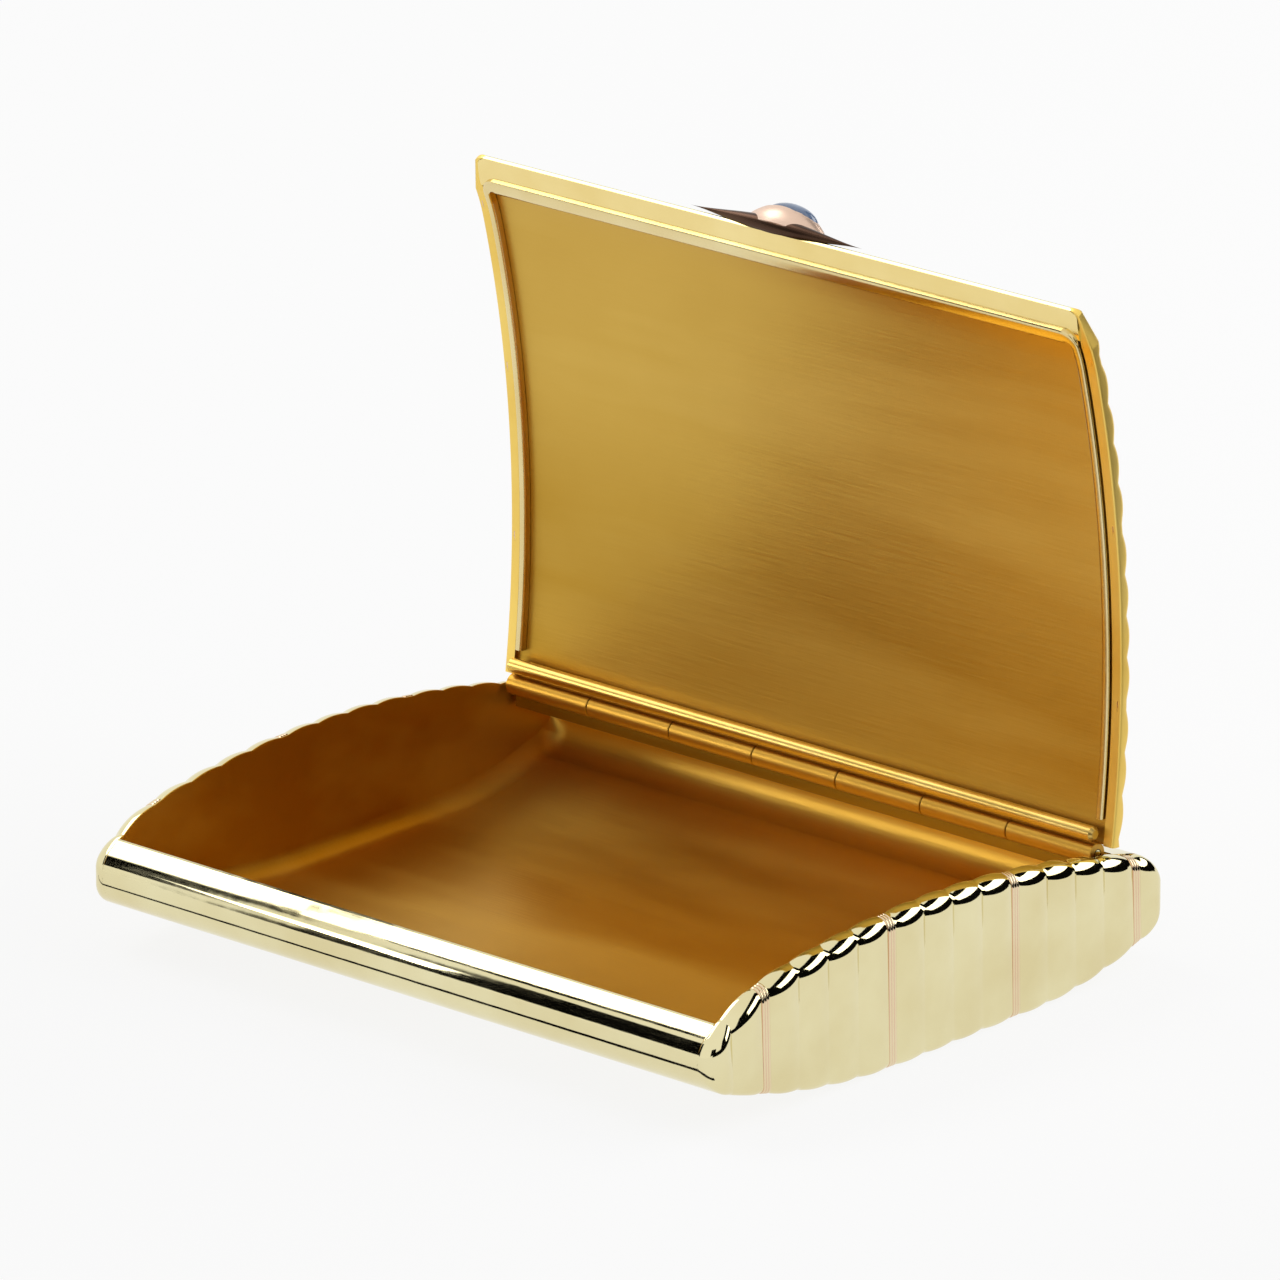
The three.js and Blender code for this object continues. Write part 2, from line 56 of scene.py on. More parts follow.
# %% Rim, underside and lid as functions of y
HALF = 47.5
FRONT_Y, REAR_Y = -39.4, 39.4
RIM_CENTRE, RIM_RADIUS = (-3.0, 18.3 - 150.0), 150.0
DIP_RADIUS = 22.0
DIP_Y = FRONT_Y + 11.4
dip_cos = (DIP_Y - RIM_CENTRE[0]) / RIM_RADIUS
DIP_CENTRE = (DIP_Y - DIP_RADIUS * dip_cos,
              RIM_CENTRE[1] + (RIM_RADIUS - DIP_RADIUS) * math.sqrt(1 - dip_cos ** 2))


def rim(y, offset=0.0):
    """Height of the rim, or of a curve beside it at a constant distance."""
    y = np.asarray(y, float)
    on_dip = y < DIP_Y + offset * dip_cos
    far = (RIM_RADIUS + offset) ** 2 - (y - RIM_CENTRE[0]) ** 2
    near = np.clip((DIP_RADIUS + offset) ** 2 - (y - DIP_CENTRE[0]) ** 2, 0, None)
    return np.where(on_dip, DIP_CENTRE[1] + np.sqrt(near), RIM_CENTRE[1] + np.sqrt(far))


def touching(y, radius, centre, outer):
    """Centre height of a circle at y that touches a larger one from inside."""
    return centre[1] + math.sqrt((outer - radius) ** 2 - (y - centre[0]) ** 2)


SHOULDER_RADIUS, RAIL_RADIUS, LOWER_RADIUS = 5.2, 3.6, 4.4
SHOULDER = (REAR_Y - SHOULDER_RADIUS,
            touching(REAR_Y - SHOULDER_RADIUS, SHOULDER_RADIUS, RIM_CENTRE, RIM_RADIUS))
RAIL = (FRONT_Y + RAIL_RADIUS, touching(FRONT_Y + RAIL_RADIUS, RAIL_RADIUS, DIP_CENTRE, DIP_RADIUS))
LOWER = (FRONT_Y + LOWER_RADIUS, RAIL[1])
FLAT_FRONT, FLAT_REAR = FRONT_Y + 33.4, REAR_Y - 23.4


def sweep(flat, circle, radius):
    """The arc that leaves the flat underside and runs into a circle: its radius and its end."""
    size = ((circle[0] - flat) ** 2 + circle[1] ** 2 - radius ** 2) / (2 * (circle[1] - radius))
    return size, flat + size * (circle[0] - flat) / math.hypot(circle[0] - flat, circle[1] - size)


FRONT_SWEEP, FRONT_TOUCH = sweep(FLAT_FRONT, LOWER, LOWER_RADIUS)
REAR_SWEEP, REAR_TOUCH = sweep(FLAT_REAR, SHOULDER, SHOULDER_RADIUS)


def below(y, centre, radius):
    """The lower half of a circle."""
    return centre[1] - np.sqrt(np.clip(radius ** 2 - (y - centre[0]) ** 2, 0, None))


def underside(y):
    """Height of the reeds' crests under the tray."""
    y = np.asarray(y, float)
    return np.select(
        [y < FRONT_TOUCH, y < FLAT_FRONT, y < FLAT_REAR, y < REAR_TOUCH],
        [below(y, LOWER, LOWER_RADIUS), below(y, (FLAT_FRONT, FRONT_SWEEP), FRONT_SWEEP), 0 * y,
         below(y, (FLAT_REAR, REAR_SWEEP), REAR_SWEEP)],
        below(y, SHOULDER, SHOULDER_RADIUS))


def touch_y(centre, outer, circle):
    """Where a circle touches the larger one that it lies in."""
    away_y, away_z = circle[0] - centre[0], circle[1] - centre[1]
    return centre[0] + outer * away_y / math.hypot(away_y, away_z)


RAIL_TOUCH = touch_y(DIP_CENTRE, DIP_RADIUS, RAIL)
SHOULDER_TOUCH = touch_y(RIM_CENTRE, RIM_RADIUS, SHOULDER)


def top(y):
    """The outline's upper edge from nose to nose: rail, rim and shoulder."""
    y = np.asarray(y, float)
    rail = 2 * RAIL[1] - below(y, RAIL, RAIL_RADIUS)
    shoulder = 2 * SHOULDER[1] - below(y, SHOULDER, SHOULDER_RADIUS)
    return np.select([y < RAIL_TOUCH, y > SHOULDER_TOUCH], [rail, shoulder], rim(y))


HINGE_SETBACK, HINGE_DROP = 9.4, 0.1
HINGE = (REAR_Y - HINGE_SETBACK, float(rim(REAR_Y - HINGE_SETBACK)) - HINGE_DROP)
print("hinge line", [round(v, 3) for v in HINGE], "rail", [round(v, 2) for v in RAIL])

# %% [markdown]
# ## The reeds
# A reed is a shallow convex strip with a sharp valley on each side. It could be a bump texture,
# but the reeds show in the outline of the rim, so they have to be real shape. One function gives
# how deep the surface lies under the crests at any y, and the slices are placed so that one falls
# in every valley.

# %% Depth of the reeds and the slices that catch their valleys
REED_HEIGHT, REEDS_PER_GROUP, BANDS = 0.5, 4, 4
FIRST_BAND, LAST_BAND = FRONT_Y + 9.4, REAR_Y - 5.2
BAND_PERIOD = (LAST_BAND - FIRST_BAND) / (BANDS - 1)
GROOVE = 1.3
BAND_Y = [FIRST_BAND + i * BAND_PERIOD for i in range(BANDS)]
REED_PITCH = (BAND_PERIOD - GROOVE) / REEDS_PER_GROUP
REED_FRONT, REED_REAR = BAND_Y[0] - GROOVE / 2, BAND_Y[-1] + GROOVE / 2
FALL, FALL_STEPS = 1.6, 6
GROOVE_EDGE = 0.02
NEAREST = 0.01
REED_STEPS = 14
UNDER_SHARE, RIM_SHARE = 0.35, 0.5


def reed_depth(y, front_reeds=0):
    """Depth under the crests. front_reeds adds reeds before the first band."""
    y = np.asarray(y, float)
    start = REED_FRONT - front_reeds * REED_PITCH
    along = np.mod(y - REED_FRONT, BAND_PERIOD) - GROOVE
    before = np.mod(y - start, REED_PITCH)
    place = np.where(y < REED_FRONT, before, np.mod(along, REED_PITCH))
    reed = REED_HEIGHT * (2 * place / REED_PITCH - 1) ** 2
    groove = (y >= REED_FRONT) & (along < 0)
    depth = np.where(groove, REED_HEIGHT, reed)
    depth = np.where(y < start, REED_HEIGHT * np.clip(1 - (start - y) / FALL, 0, 1) ** 2, depth)
    return np.where(y > REED_REAR, REED_HEIGHT * np.clip(1 - (y - REED_REAR) / FALL, 0, 1) ** 2, depth)


def nose(edge, centre, steps):
    """Slices from a nose of the outline to the middle of its round, closer together at the nose."""
    turn = np.linspace(0, math.pi / 2, steps)
    return edge + (centre - edge) * (1 - np.cos(turn))


def slices(front_reeds, first, last):
    """Values of y from first to last, with several to each reed and one in each valley."""
    start = REED_FRONT - front_reeds * REED_PITCH
    marks = [start - FALL + i * FALL / FALL_STEPS for i in range(FALL_STEPS)]
    for i in range(front_reeds):
        marks += list(start + i * REED_PITCH + np.linspace(0, REED_PITCH, REED_STEPS + 1)[:-1])
    for y in BAND_Y:
        marks += [y - GROOVE / 2, y - GROOVE / 2 + GROOVE_EDGE, y, y + GROOVE / 2 - GROOVE_EDGE]
        if y < BAND_Y[-1]:
            group = np.linspace(0, BAND_PERIOD - GROOVE, REEDS_PER_GROUP * REED_STEPS + 1)[:-1]
            marks += list(y + GROOVE / 2 + group)
    marks += [REED_REAR + i * FALL / FALL_STEPS for i in range(FALL_STEPS + 1)]
    between = [mark for mark in sorted(marks) if first + NEAREST < mark < last - NEAREST]
    return np.array([first, *between, last])


print("reed pitch", round(REED_PITCH, 3), "mm, bands at", [round(y, 2) for y in BAND_Y])

# %% [markdown]
# ## Skins from rings
# Most pieces here are a row of rings joined by quads, like ribs under a boat's planking. A lathe
# or a bevelled curve would give the same, but then the rings could not change along the way. The
# helper also marks edges sharper than a set angle, so that valleys stay crisp while rounds stay
# smooth.

# %% A skin over a row of rings
SHARP = math.radians(32)


def skin(name, rings, zones=None, around=False):
    """A mesh over closed rings, an array of rings by points by xyz in millimetres. zones gives the
    material index of the faces that start at each point of a ring. around joins the last ring to
    the first; otherwise the two end rings are filled."""
    rings = np.asarray(rings, float)
    count, points = rings.shape[:2]
    corners = np.arange(count * points).reshape(count, points)
    rows = np.concatenate([corners, corners[:1]]) if around else corners
    ahead = np.roll(rows, -1, axis=1)
    face_list = np.stack([rows[:-1], ahead[:-1], ahead[1:], rows[1:]], axis=-1).reshape(-1, 4).tolist()
    material = np.tile(np.zeros(points, int) if zones is None else zones, len(rows) - 1).tolist()
    if not around:
        face_list += [corners[0, ::-1].tolist(), corners[-1].tolist()]
        material += [material[0], material[0]]
    mesh = bpy.data.meshes.new(name)
    mesh.from_pydata((rings.reshape(-1, 3) * MM).tolist(), [], face_list)
    mesh.polygons.foreach_set("material_index", material)
    mesh.polygons.foreach_set("use_smooth", [True] * len(face_list))
    turn_out(mesh)
    mesh.set_sharp_from_angle(angle=SHARP)
    made = bpy.data.objects.new(name, mesh)
    bpy.context.scene.collection.objects.link(made)
    return made


def turn_out(mesh):
    """Turns the faces of a closed mesh so that they look outwards."""
    mesh.calc_loop_triangles()
    at = np.array([v.co for v in mesh.vertices])
    tri = np.array([t.vertices for t in mesh.loop_triangles])
    a, b, c = at[tri[:, 0]], at[tri[:, 1]], at[tri[:, 2]]
    if np.einsum("ij,ij->i", a, np.cross(b, c)).sum() < 0:
        mesh.flip_normals()


def round_corner(centre, radius, start, end, steps):
    """Points of an arc, with angles in degrees."""
    turn = np.radians(np.linspace(start, end, steps))
    return np.stack([centre[0] + radius * np.cos(turn), centre[1] + radius * np.sin(turn)], axis=-1)


print("edges sharper than", round(math.degrees(SHARP)), "degrees stay crisp")

# %% [markdown]
# ## The tray
# The tray of the real case is one shell: floor, smooth front rail and round rear shoulder bent
# from sheet, with an arched wall soldered into each end. A single skin would need rings that
# follow all of these at once. It is simpler to make it as the goldsmith did: a trough that runs
# along the hinge, and two end walls with reeds. Near the ends the trough's inside rises in a
# fillet, which gives the soft corner between floor and end wall. Behind the front rail lies a
# narrow ledge, over which the lid's free edge comes down.

# %% Section of the trough
CAVITY = 45.2
CAVITY_FRONT = FRONT_Y + 3.0
LEDGE_REAR, LEDGE_DROP = FRONT_Y + 4.6, 0.9
LIP_Y = HINGE[0] + 1.6
FLOOR, SHOULDER_WALL = 1.7, 1.5
INNER_RADIUS = SHOULDER_RADIUS - SHOULDER_WALL
FLOOR_FILLET = 3.0
END_FILLET = 2.6
EASE = 0.35
EASE_STEPS = 6

bottom_y = slices(0, FRONT_TOUCH, REAR_TOUCH)
bottom = np.stack([bottom_y, underside(bottom_y) + UNDER_SHARE * reed_depth(bottom_y)], axis=-1)


def turn_to(place, centre):
    """The angle in degrees at which a place lies, seen from a centre."""
    return math.degrees(math.atan2(place[1] - centre[1], place[0] - centre[0]))


low_turn = turn_to((FRONT_TOUCH, float(underside(FRONT_TOUCH))), LOWER) + 360
rear_turn = turn_to((REAR_TOUCH, float(underside(REAR_TOUCH))), SHOULDER)
rim_turn = turn_to(SHOULDER, RIM_CENTRE)
rail_turn = turn_to(RAIL, DIP_CENTRE)
shoulder_top_y = np.linspace(SHOULDER_TOUCH, LIP_Y + EASE, 6)[1:]
rail_top_y = np.linspace(CAVITY_FRONT - EASE, RAIL_TOUCH, 8)
outer_path = np.concatenate([
    round_corner(LOWER, LOWER_RADIUS, 180, low_turn, 16)[:-1],
    bottom,
    round_corner(SHOULDER, SHOULDER_RADIUS, rear_turn, rim_turn, 34)[1:],
    np.stack([shoulder_top_y, rim(shoulder_top_y)], axis=-1),
])
lip_z = float(rim(LIP_Y))
cavity_top = float(rim(CAVITY_FRONT))
floor_front, ledge_z = LEDGE_REAR + FLOOR_FILLET, cavity_top - LEDGE_DROP
floor_y = np.linspace(SHOULDER[0], floor_front, 60)
rise = SHOULDER[1] - INNER_RADIUS - float(underside(SHOULDER[0])) - FLOOR
share = np.clip((floor_y - FLAT_REAR) / (SHOULDER[0] - FLAT_REAR), 0, None) ** 2
floor_z = underside(floor_y) + FLOOR + rise * share
floor_start = float(underside(floor_front)) + FLOOR + FLOOR_FILLET
ledge_path = np.concatenate([
    round_corner((LEDGE_REAR - EASE, ledge_z - EASE), EASE, 0, 90, EASE_STEPS),
    np.array([[CAVITY_FRONT, ledge_z]]),
    round_corner((CAVITY_FRONT - EASE, cavity_top - EASE), EASE, 0, 80, EASE_STEPS),
])
inner_path = np.concatenate([
    round_corner((LIP_Y + EASE, lip_z - EASE), EASE, 90, 180, EASE_STEPS)[1:],
    np.array([[LIP_Y, lip_z - SHOULDER_WALL]]),
    round_corner(SHOULDER, INNER_RADIUS, rim_turn, -90, 40),
    np.stack([floor_y, floor_z], axis=-1)[1:-1],
    round_corner((floor_front, floor_start), FLOOR_FILLET, 270, 180, 14),
])
rail_path = np.concatenate([
    np.stack([rail_top_y, rim(rail_top_y)], axis=-1),
    round_corner(RAIL, RAIL_RADIUS, rail_turn, 180, 16)[1:],
])
trough_path = np.concatenate([outer_path, inner_path, ledge_path, rail_path])
print("trough section points:", len(trough_path))

# %% The trough, with fillets rising to its two ends
LIP_POINTS, SHOULDER_POINTS, SHOULDER_RISE = 4, 12, 20
END_LAP = 0.05
MIDDLE_X = np.linspace(-40, 40, 9)
inside = np.zeros(len(trough_path))
inner_end = len(outer_path) + len(inner_path)
first_risen = len(outer_path) + SHOULDER_POINTS
inside[first_risen:inner_end - 1] = 1
inside[first_risen:first_risen + SHOULDER_RISE] = np.linspace(0, 1, SHOULDER_RISE) ** 2
ahead = np.roll(trough_path, -1, axis=0) - np.roll(trough_path, 1, axis=0)
inward = np.stack([-ahead[:, 1], ahead[:, 0]], axis=-1) / np.linalg.norm(ahead, axis=1)[:, None]
fillet_x = CAVITY + END_LAP - END_FILLET * (1 - np.sin(np.linspace(0, math.pi / 2, 12)))
station_x = np.concatenate([-fillet_x[::-1], MIDDLE_X, fillet_x])
trough_rings = []
for x in station_x:
    across = np.clip((abs(x) - fillet_x[0]) / END_FILLET, 0, 1)
    lift = END_FILLET * (1 - math.sqrt(max(0.0, 1 - across ** 2)))
    at = trough_path - inward * (inside * lift)[:, None]
    trough_rings.append(np.column_stack([np.full(len(at), x), at]))
GOLD, GILT = 0, 1
zones = np.full(len(trough_path), GOLD)
zones[len(outer_path) + LIP_POINTS:inner_end] = GILT
trough = skin("tray_trough", trough_rings, zones)
print("trough faces:", len(trough.data.polygons))

# %% Rings of an end wall
WALL_EDGE, RIM_ROUND, INNER_ROUND = 1.0, 2.0, 0.3
PLAN_ROUND = 2.2
HEIGHT_SHARE, WALL_SHARE = 0.45, 0.87


def plan_half(y, half, front):
    """Half length of the plan at y, with its rounded corners."""
    y = np.asarray(y, float)
    near = np.clip(front + PLAN_ROUND - y, 0, PLAN_ROUND)
    far = np.clip(y - (REAR_Y - PLAN_ROUND), 0, PLAN_ROUND)
    gone = np.maximum(near, far)
    return half - PLAN_ROUND + np.sqrt(PLAN_ROUND ** 2 - gone ** 2)


def wall_line(y, depth, low_depth):
    """The outer face of an end wall at y, from the underside to the rim's land, as x and z. The
    reeds are deep at the rim and shallow under the tray."""
    plan = float(plan_half(y, HALF, FRONT_Y))
    out, out_low = plan - depth, plan - UNDER_SHARE * depth
    low = float(underside(y)) + UNDER_SHARE * low_depth
    high = float(top(y)) - RIM_SHARE * depth
    room = min(HEIGHT_SHARE * (high - low), WALL_SHARE * (out - CAVITY))
    foot, head = min(WALL_EDGE, room), min(RIM_ROUND, room)
    face = np.column_stack([np.linspace(out_low, out, 8), np.linspace(low + foot, high - head, 8)])
    return np.concatenate([
        np.array([[CAVITY, low]]),
        round_corner((out_low - foot, low + foot), foot, -90, 0, 9),
        face[1:-1],
        round_corner((out - head, high - head), head, 0, 90, 17),
    ])


def wall_ring(y):
    """The closed section of an end wall at y, as x and z."""
    line = wall_line(y, float(reed_depth(y, 1)), float(reed_depth(y)))
    high = line[-1, 1]
    edge = min(INNER_ROUND, HEIGHT_SHARE * (line[-1, 0] - CAVITY))
    return np.concatenate([
        line,
        round_corner((CAVITY + edge, high - edge), edge, 90, 180, 5),
        np.array([[CAVITY, 0.5 * (high + line[0, 1])]]),
    ])


wall_y = np.concatenate([
    nose(FRONT_Y, RAIL[0], 18)[:-1],
    slices(1, RAIL[0], SHOULDER[0]),
    nose(REAR_Y, SHOULDER[0], 24)[::-1][1:],
])
wall_rings = np.array([np.column_stack([ring[:, 0], np.full(len(ring), y), ring[:, 1]])
                       for y, ring in ((y, wall_ring(y)) for y in wall_y)])
INNER_POINTS = 6
wall_zones = np.full(wall_rings.shape[1], GOLD)
wall_zones[-INNER_POINTS:] = GILT
right_wall = skin("end_wall_right", wall_rings, wall_zones)
left_wall = skin("end_wall_left", wall_rings * [-1, 1, 1], wall_zones)
print("end wall faces:", len(right_wall.data.polygons))

# %% [markdown]
# ## The rose gold bands
# Each band is a strip let into a groove between two groups of reeds, with three fine ribs along
# it. It could be a stripe of colour in the metal, but the real bands catch their own highlights.
# Its section is drawn across the groove and carried along the same line as the end wall, under
# the tray and up both ends.

# %% Section of a band, and the bands of the tray
BAND_WIDTH = 1.26
RIBS, RIB_STEPS, RIB_FULLNESS = 3, 8, 0.7
RIB_CREST, RIB_HEIGHT, BAND_ROOT = 0.32, 0.12, 0.7
RIB_ZONE = 0.38
ROSE, RIB = 0, 1
UNDER_STEPS, UNDER_GAP = 10, 0.5


def band_section(width):
    """Points across a band, as y from its middle and depth under the crests."""
    across = np.linspace(-0.5, 0.5, RIB_STEPS * RIBS + 1)
    ribs = RIB_CREST + RIB_HEIGHT * (1 - np.abs(np.sin(RIBS * math.pi * (across + 0.5))) ** RIB_FULLNESS)
    crown = np.column_stack([across * width, ribs])
    return np.concatenate([crown, np.array([[0.5 * width, BAND_ROOT], [-0.5 * width, BAND_ROOT]])])


band_zones = np.where(band_section(1.0)[:, 1] > RIB_ZONE, ROSE, RIB)


def tray_line(y, depth):
    """The line of a band over one half of the tray, from the middle of the underside."""
    line = wall_line(y, depth, depth)
    under_x = np.linspace(0, CAVITY - UNDER_GAP, UNDER_STEPS)
    under = np.column_stack([under_x, np.full(UNDER_STEPS, line[0, 1])])
    return np.concatenate([under, line])


def tray_band(number, y):
    """One band, under the tray and up both ends."""
    section = band_section(BAND_WIDTH)
    lines = np.array([tray_line(y + off, depth) for off, depth in section])
    places = np.broadcast_to((y + section[:, 0])[:, None], lines.shape[:2])
    half = np.stack([lines[:, :, 0], places, lines[:, :, 1]], axis=-1).transpose(1, 0, 2)
    rows = np.concatenate([half[:0:-1] * [-1, 1, 1], half])
    return skin(f"tray_band_{number}", rows, band_zones)


tray_bands = [tray_band(i + 1, y) for i, y in enumerate(BAND_Y)]
print("bands on the tray:", len(tray_bands))

# %% [markdown]
# ## The lid
# The lid is a thin arched plate with reeds outside and a smooth hollow inside. It could be drawn
# standing open, but its arch is the tray's own rim. So it is drawn shut, in places measured along
# the arch and out from it, and then swung open round the hinge line with the frame's angle. The
# inner side of its free edge falls back in a bevel, which catches the light as a pale band; that
# band is also given a paler, warmer gold, a painted highlight, and the sides a deeper gold, a
# painted reflection.

# %% From shut to open
LID_HALF, LID_SIDE, LID_THICK, PARTING = 46.5, 1.4, 1.9, 0.3
LID_FRONT, LID_REAR = FRONT_Y + 3.4, HINGE[0] - 0.9
LID_LAND = 2.6
OPEN = math.radians(85)


def arch(x, y, height, measured_at=0.0):
    """Places over the rim: y on the curve that lies measured_at above the parting, then height
    above the parting along the arch's normal."""
    y, height = np.broadcast_arrays(np.asarray(y, float), np.asarray(height, float))
    reach = PARTING + measured_at
    on_dip = y < DIP_Y + reach * dip_cos
    centre_y = np.where(on_dip, DIP_CENTRE[0], RIM_CENTRE[0])
    centre_z = np.where(on_dip, DIP_CENTRE[1], RIM_CENTRE[1])
    radius = np.where(on_dip, DIP_RADIUS, RIM_RADIUS)
    lean = (y - centre_y) / (radius + reach)
    out = radius + PARTING + height
    return np.stack([np.broadcast_to(np.asarray(x, float), y.shape), centre_y + out * lean,
                     centre_z + out * np.sqrt(1 - lean ** 2)], axis=-1)


def swing(points):
    """Turns places on the shut lid round the hinge line, to where it stands open."""
    points = np.asarray(points, float)
    dy, dz = points[..., 1] - HINGE[0], points[..., 2] - HINGE[1]
    turned_y = HINGE[0] + dy * math.cos(OPEN) + dz * math.sin(OPEN)
    turned_z = HINGE[1] - dy * math.sin(OPEN) + dz * math.cos(OPEN)
    return np.stack([points[..., 0], turned_y, turned_z], axis=-1)


edge_place = arch(0, LID_FRONT, LID_THICK)
print("free edge when open", np.round(swing(edge_place), 1))

# %% The lid's plate
LID_CAVITY, SIDE_LEAST = LID_HALF - LID_SIDE, 0.5
LID_HOLLOW, HOLLOW_RISE, HOLLOW_START = 0.55, 0.4, 1.0
EDGE_ROUND, EDGE_TRIM, EDGE_GAP = 0.35, 0.6, 0.02
EDGE_BEVEL, BEVEL_FULLNESS, BEVEL_EXTRA = 1.25, 1.6, 0.6
EDGE_STEPS, LAND_STEPS, RISE_STEPS, HOLLOW_STEPS = 5, 12, 6, 60
OUT_FRONT = float(edge_place[1]) + EDGE_TRIM
OUT_REAR = float(arch(0, LID_REAR, LID_THICK)[1])
land_end = OUT_FRONT + LID_LAND + BEVEL_EXTRA


def bevel(y):
    """How far the inner side of the free edge falls back from the parting at y."""
    return EDGE_BEVEL * np.clip((land_end - y) / (land_end - OUT_FRONT), 0, 1) ** BEVEL_FULLNESS


land_y = np.linspace(OUT_FRONT + EDGE_GAP, land_end, LAND_STEPS)
rise_turn = np.linspace(0, 1, RISE_STEPS + 1)[1:]
out_y = slices(0, OUT_FRONT + EDGE_ROUND, OUT_REAR)[::-1]
round_turn = np.radians(np.linspace(0, 90, 9))[1:]
plate_path = np.concatenate([
    np.column_stack([out_y, LID_THICK - reed_depth(out_y)]),
    np.column_stack([OUT_FRONT + EDGE_ROUND * (1 - np.sin(round_turn)),
                     LID_THICK - EDGE_ROUND * (1 - np.cos(round_turn))]),
    np.column_stack([np.full(EDGE_STEPS, OUT_FRONT),
                     np.linspace(LID_THICK - EDGE_ROUND, EDGE_BEVEL, EDGE_STEPS + 1)[1:]]),
    np.column_stack([land_y, bevel(land_y)]),
    np.column_stack([land_end + HOLLOW_RISE * rise_turn, LID_HOLLOW * np.sin(rise_turn * math.pi / 2)]),
    np.column_stack([np.linspace(land_end + HOLLOW_START, OUT_REAR, HOLLOW_STEPS),
                     np.full(HOLLOW_STEPS, LID_HOLLOW)]),
])
# On the plate the EDGE zone, the free edge and its bevelled land, takes a paler, warmer gold: a painted
# highlight.
EDGE = 2
gilt_from = len(plate_path) - HOLLOW_STEPS - RISE_STEPS - 1
edge_from = gilt_from + 1 - LAND_STEPS - EDGE_STEPS
plate_zones = np.full(len(plate_path), GOLD)
plate_zones[edge_from:gilt_from] = EDGE
plate_zones[gilt_from:-1] = GILT


def lid_half(y):
    """Half length of the lid's plan at y."""
    return plan_half(y, LID_HALF, OUT_FRONT)


plate_rings = []
for x in np.concatenate([[-LID_CAVITY - END_LAP], MIDDLE_X, [LID_CAVITY + END_LAP]]):
    reach = np.minimum(abs(x), lid_half(plate_path[:, 0]) - SIDE_LEAST)
    plate_rings.append(swing(arch(np.sign(x) * reach, plate_path[:, 0], plate_path[:, 1], LID_THICK)))
lid_plate = skin("lid_plate", plate_rings, plate_zones)
print("lid plate faces:", len(lid_plate.data.polygons))

# %% The lid's two sides
SIDE_ROUND, SIDE_FOOT = 0.8, 0.3
ROUND_WIDTH, ROUND_HEIGHT, FOOT_WIDTH, FOOT_HEIGHT = 0.8, 0.5, 0.4, 0.3


def side_line(y, depth, thick=LID_THICK, inset=0.0):
    """The outer face of a lid side at y, from the plate's edge over the top and down to the
    parting, as x and height. The reeds end at the side, which is smooth."""
    out = float(lid_half(y)) - inset
    start = min(LID_CAVITY, out - SIDE_LEAST)
    high = thick - depth
    room = min(SIDE_ROUND, ROUND_WIDTH * (out - start), ROUND_HEIGHT * high)
    foot = min(SIDE_FOOT, FOOT_WIDTH * (out - start), FOOT_HEIGHT * high)
    return np.concatenate([
        np.array([[start, high]]),
        round_corner((out - room, high - room), room, 90, 0, 9),
        round_corner((out - foot, foot), foot, 0, -90, 6),
    ])


def edge_thick(y):
    """Thickness of the lid, less where its free edge is rounded."""
    gone = max(0.0, OUT_FRONT + EDGE_ROUND - y)
    return LID_THICK - EDGE_ROUND + math.sqrt(max(0.0, EDGE_ROUND ** 2 - gone ** 2))


side_y = np.concatenate([nose(OUT_FRONT, OUT_FRONT + EDGE_ROUND, 9)[:-1],
                         slices(0, OUT_FRONT + EDGE_ROUND, OUT_REAR)])
side_rows = []
for y in side_y:
    line = side_line(y, float(reed_depth(y)), edge_thick(y))
    line = np.concatenate([line, [[line[0, 0], 0.0], [line[0, 0], 0.5 * line[0, 1]]]])
    line[:, 1] = np.maximum(line[:, 1], bevel(y))
    side_rows.append(arch(line[:, 0], np.full(len(line), y), line[:, 1], LID_THICK))
side_rows = np.array(side_rows)
side_zones = np.full(side_rows.shape[1], GOLD)
# The sides' rounds and foot take a deeper, warmer gold than the reeds: a painted reflection.
side_zones[1:-2] = EDGE
side_zones[-2:] = GILT
lid_right = skin("lid_side_right", swing(side_rows), side_zones)
lid_left = skin("lid_side_left", swing(side_rows * [-1, 1, 1]), side_zones)
print("lid side faces:", len(lid_right.data.polygons))

# %% The bands of the lid
LID_BANDS = 3


def lid_band(number, y):
    """One band, over the lid and down both sides."""
    section = band_section(BAND_WIDTH)
    lines = np.array([side_line(y + off, depth, inset=RIM_SHARE * depth)[::-1] for off, depth in section])
    rows = []
    for p in range(lines.shape[1]):
        rows.append(arch(lines[:, p, 0], y + section[:, 0], lines[:, p, 1], LID_THICK))
    end = np.array(rows)
    over = [end[-1] * [s, 1, 1] for s in np.linspace(1, -1, 9)[1:-1]]
    rows = np.concatenate([end, over, end[::-1] * [-1, 1, 1]])
    return skin(f"lid_strip_{number}", swing(rows), band_zones)


lid_bands = [lid_band(i + 1, BAND_Y[i]) for i in range(LID_BANDS)]
print("bands on the lid:", len(lid_bands))

# %% [markdown]
# ## The lip inside the lid
# A thin strip runs round the front and the sides of the lid and slips into the tray, so that the
# lid holds shut by friction. It could be a bevelled curve, but the front of the real strip is
# wider than its sides. So its rounded section is carried along a path in the plan, with a width
# of its own at each place.

# %% The lip's path and its skin
LIP_X, LIP_FRONT_Y, LIP_END_Y = LID_CAVITY - 0.25, LID_FRONT + LID_LAND - 0.2, LID_REAR - 3.0
LIP_BEND = 2.0
LIP_DROP, LIP_ROOT, LIP_ROUND = 0.45, 0.5, 0.3
LIP_WIDE, LIP_FRONT_WIDE = 1.0, 1.8


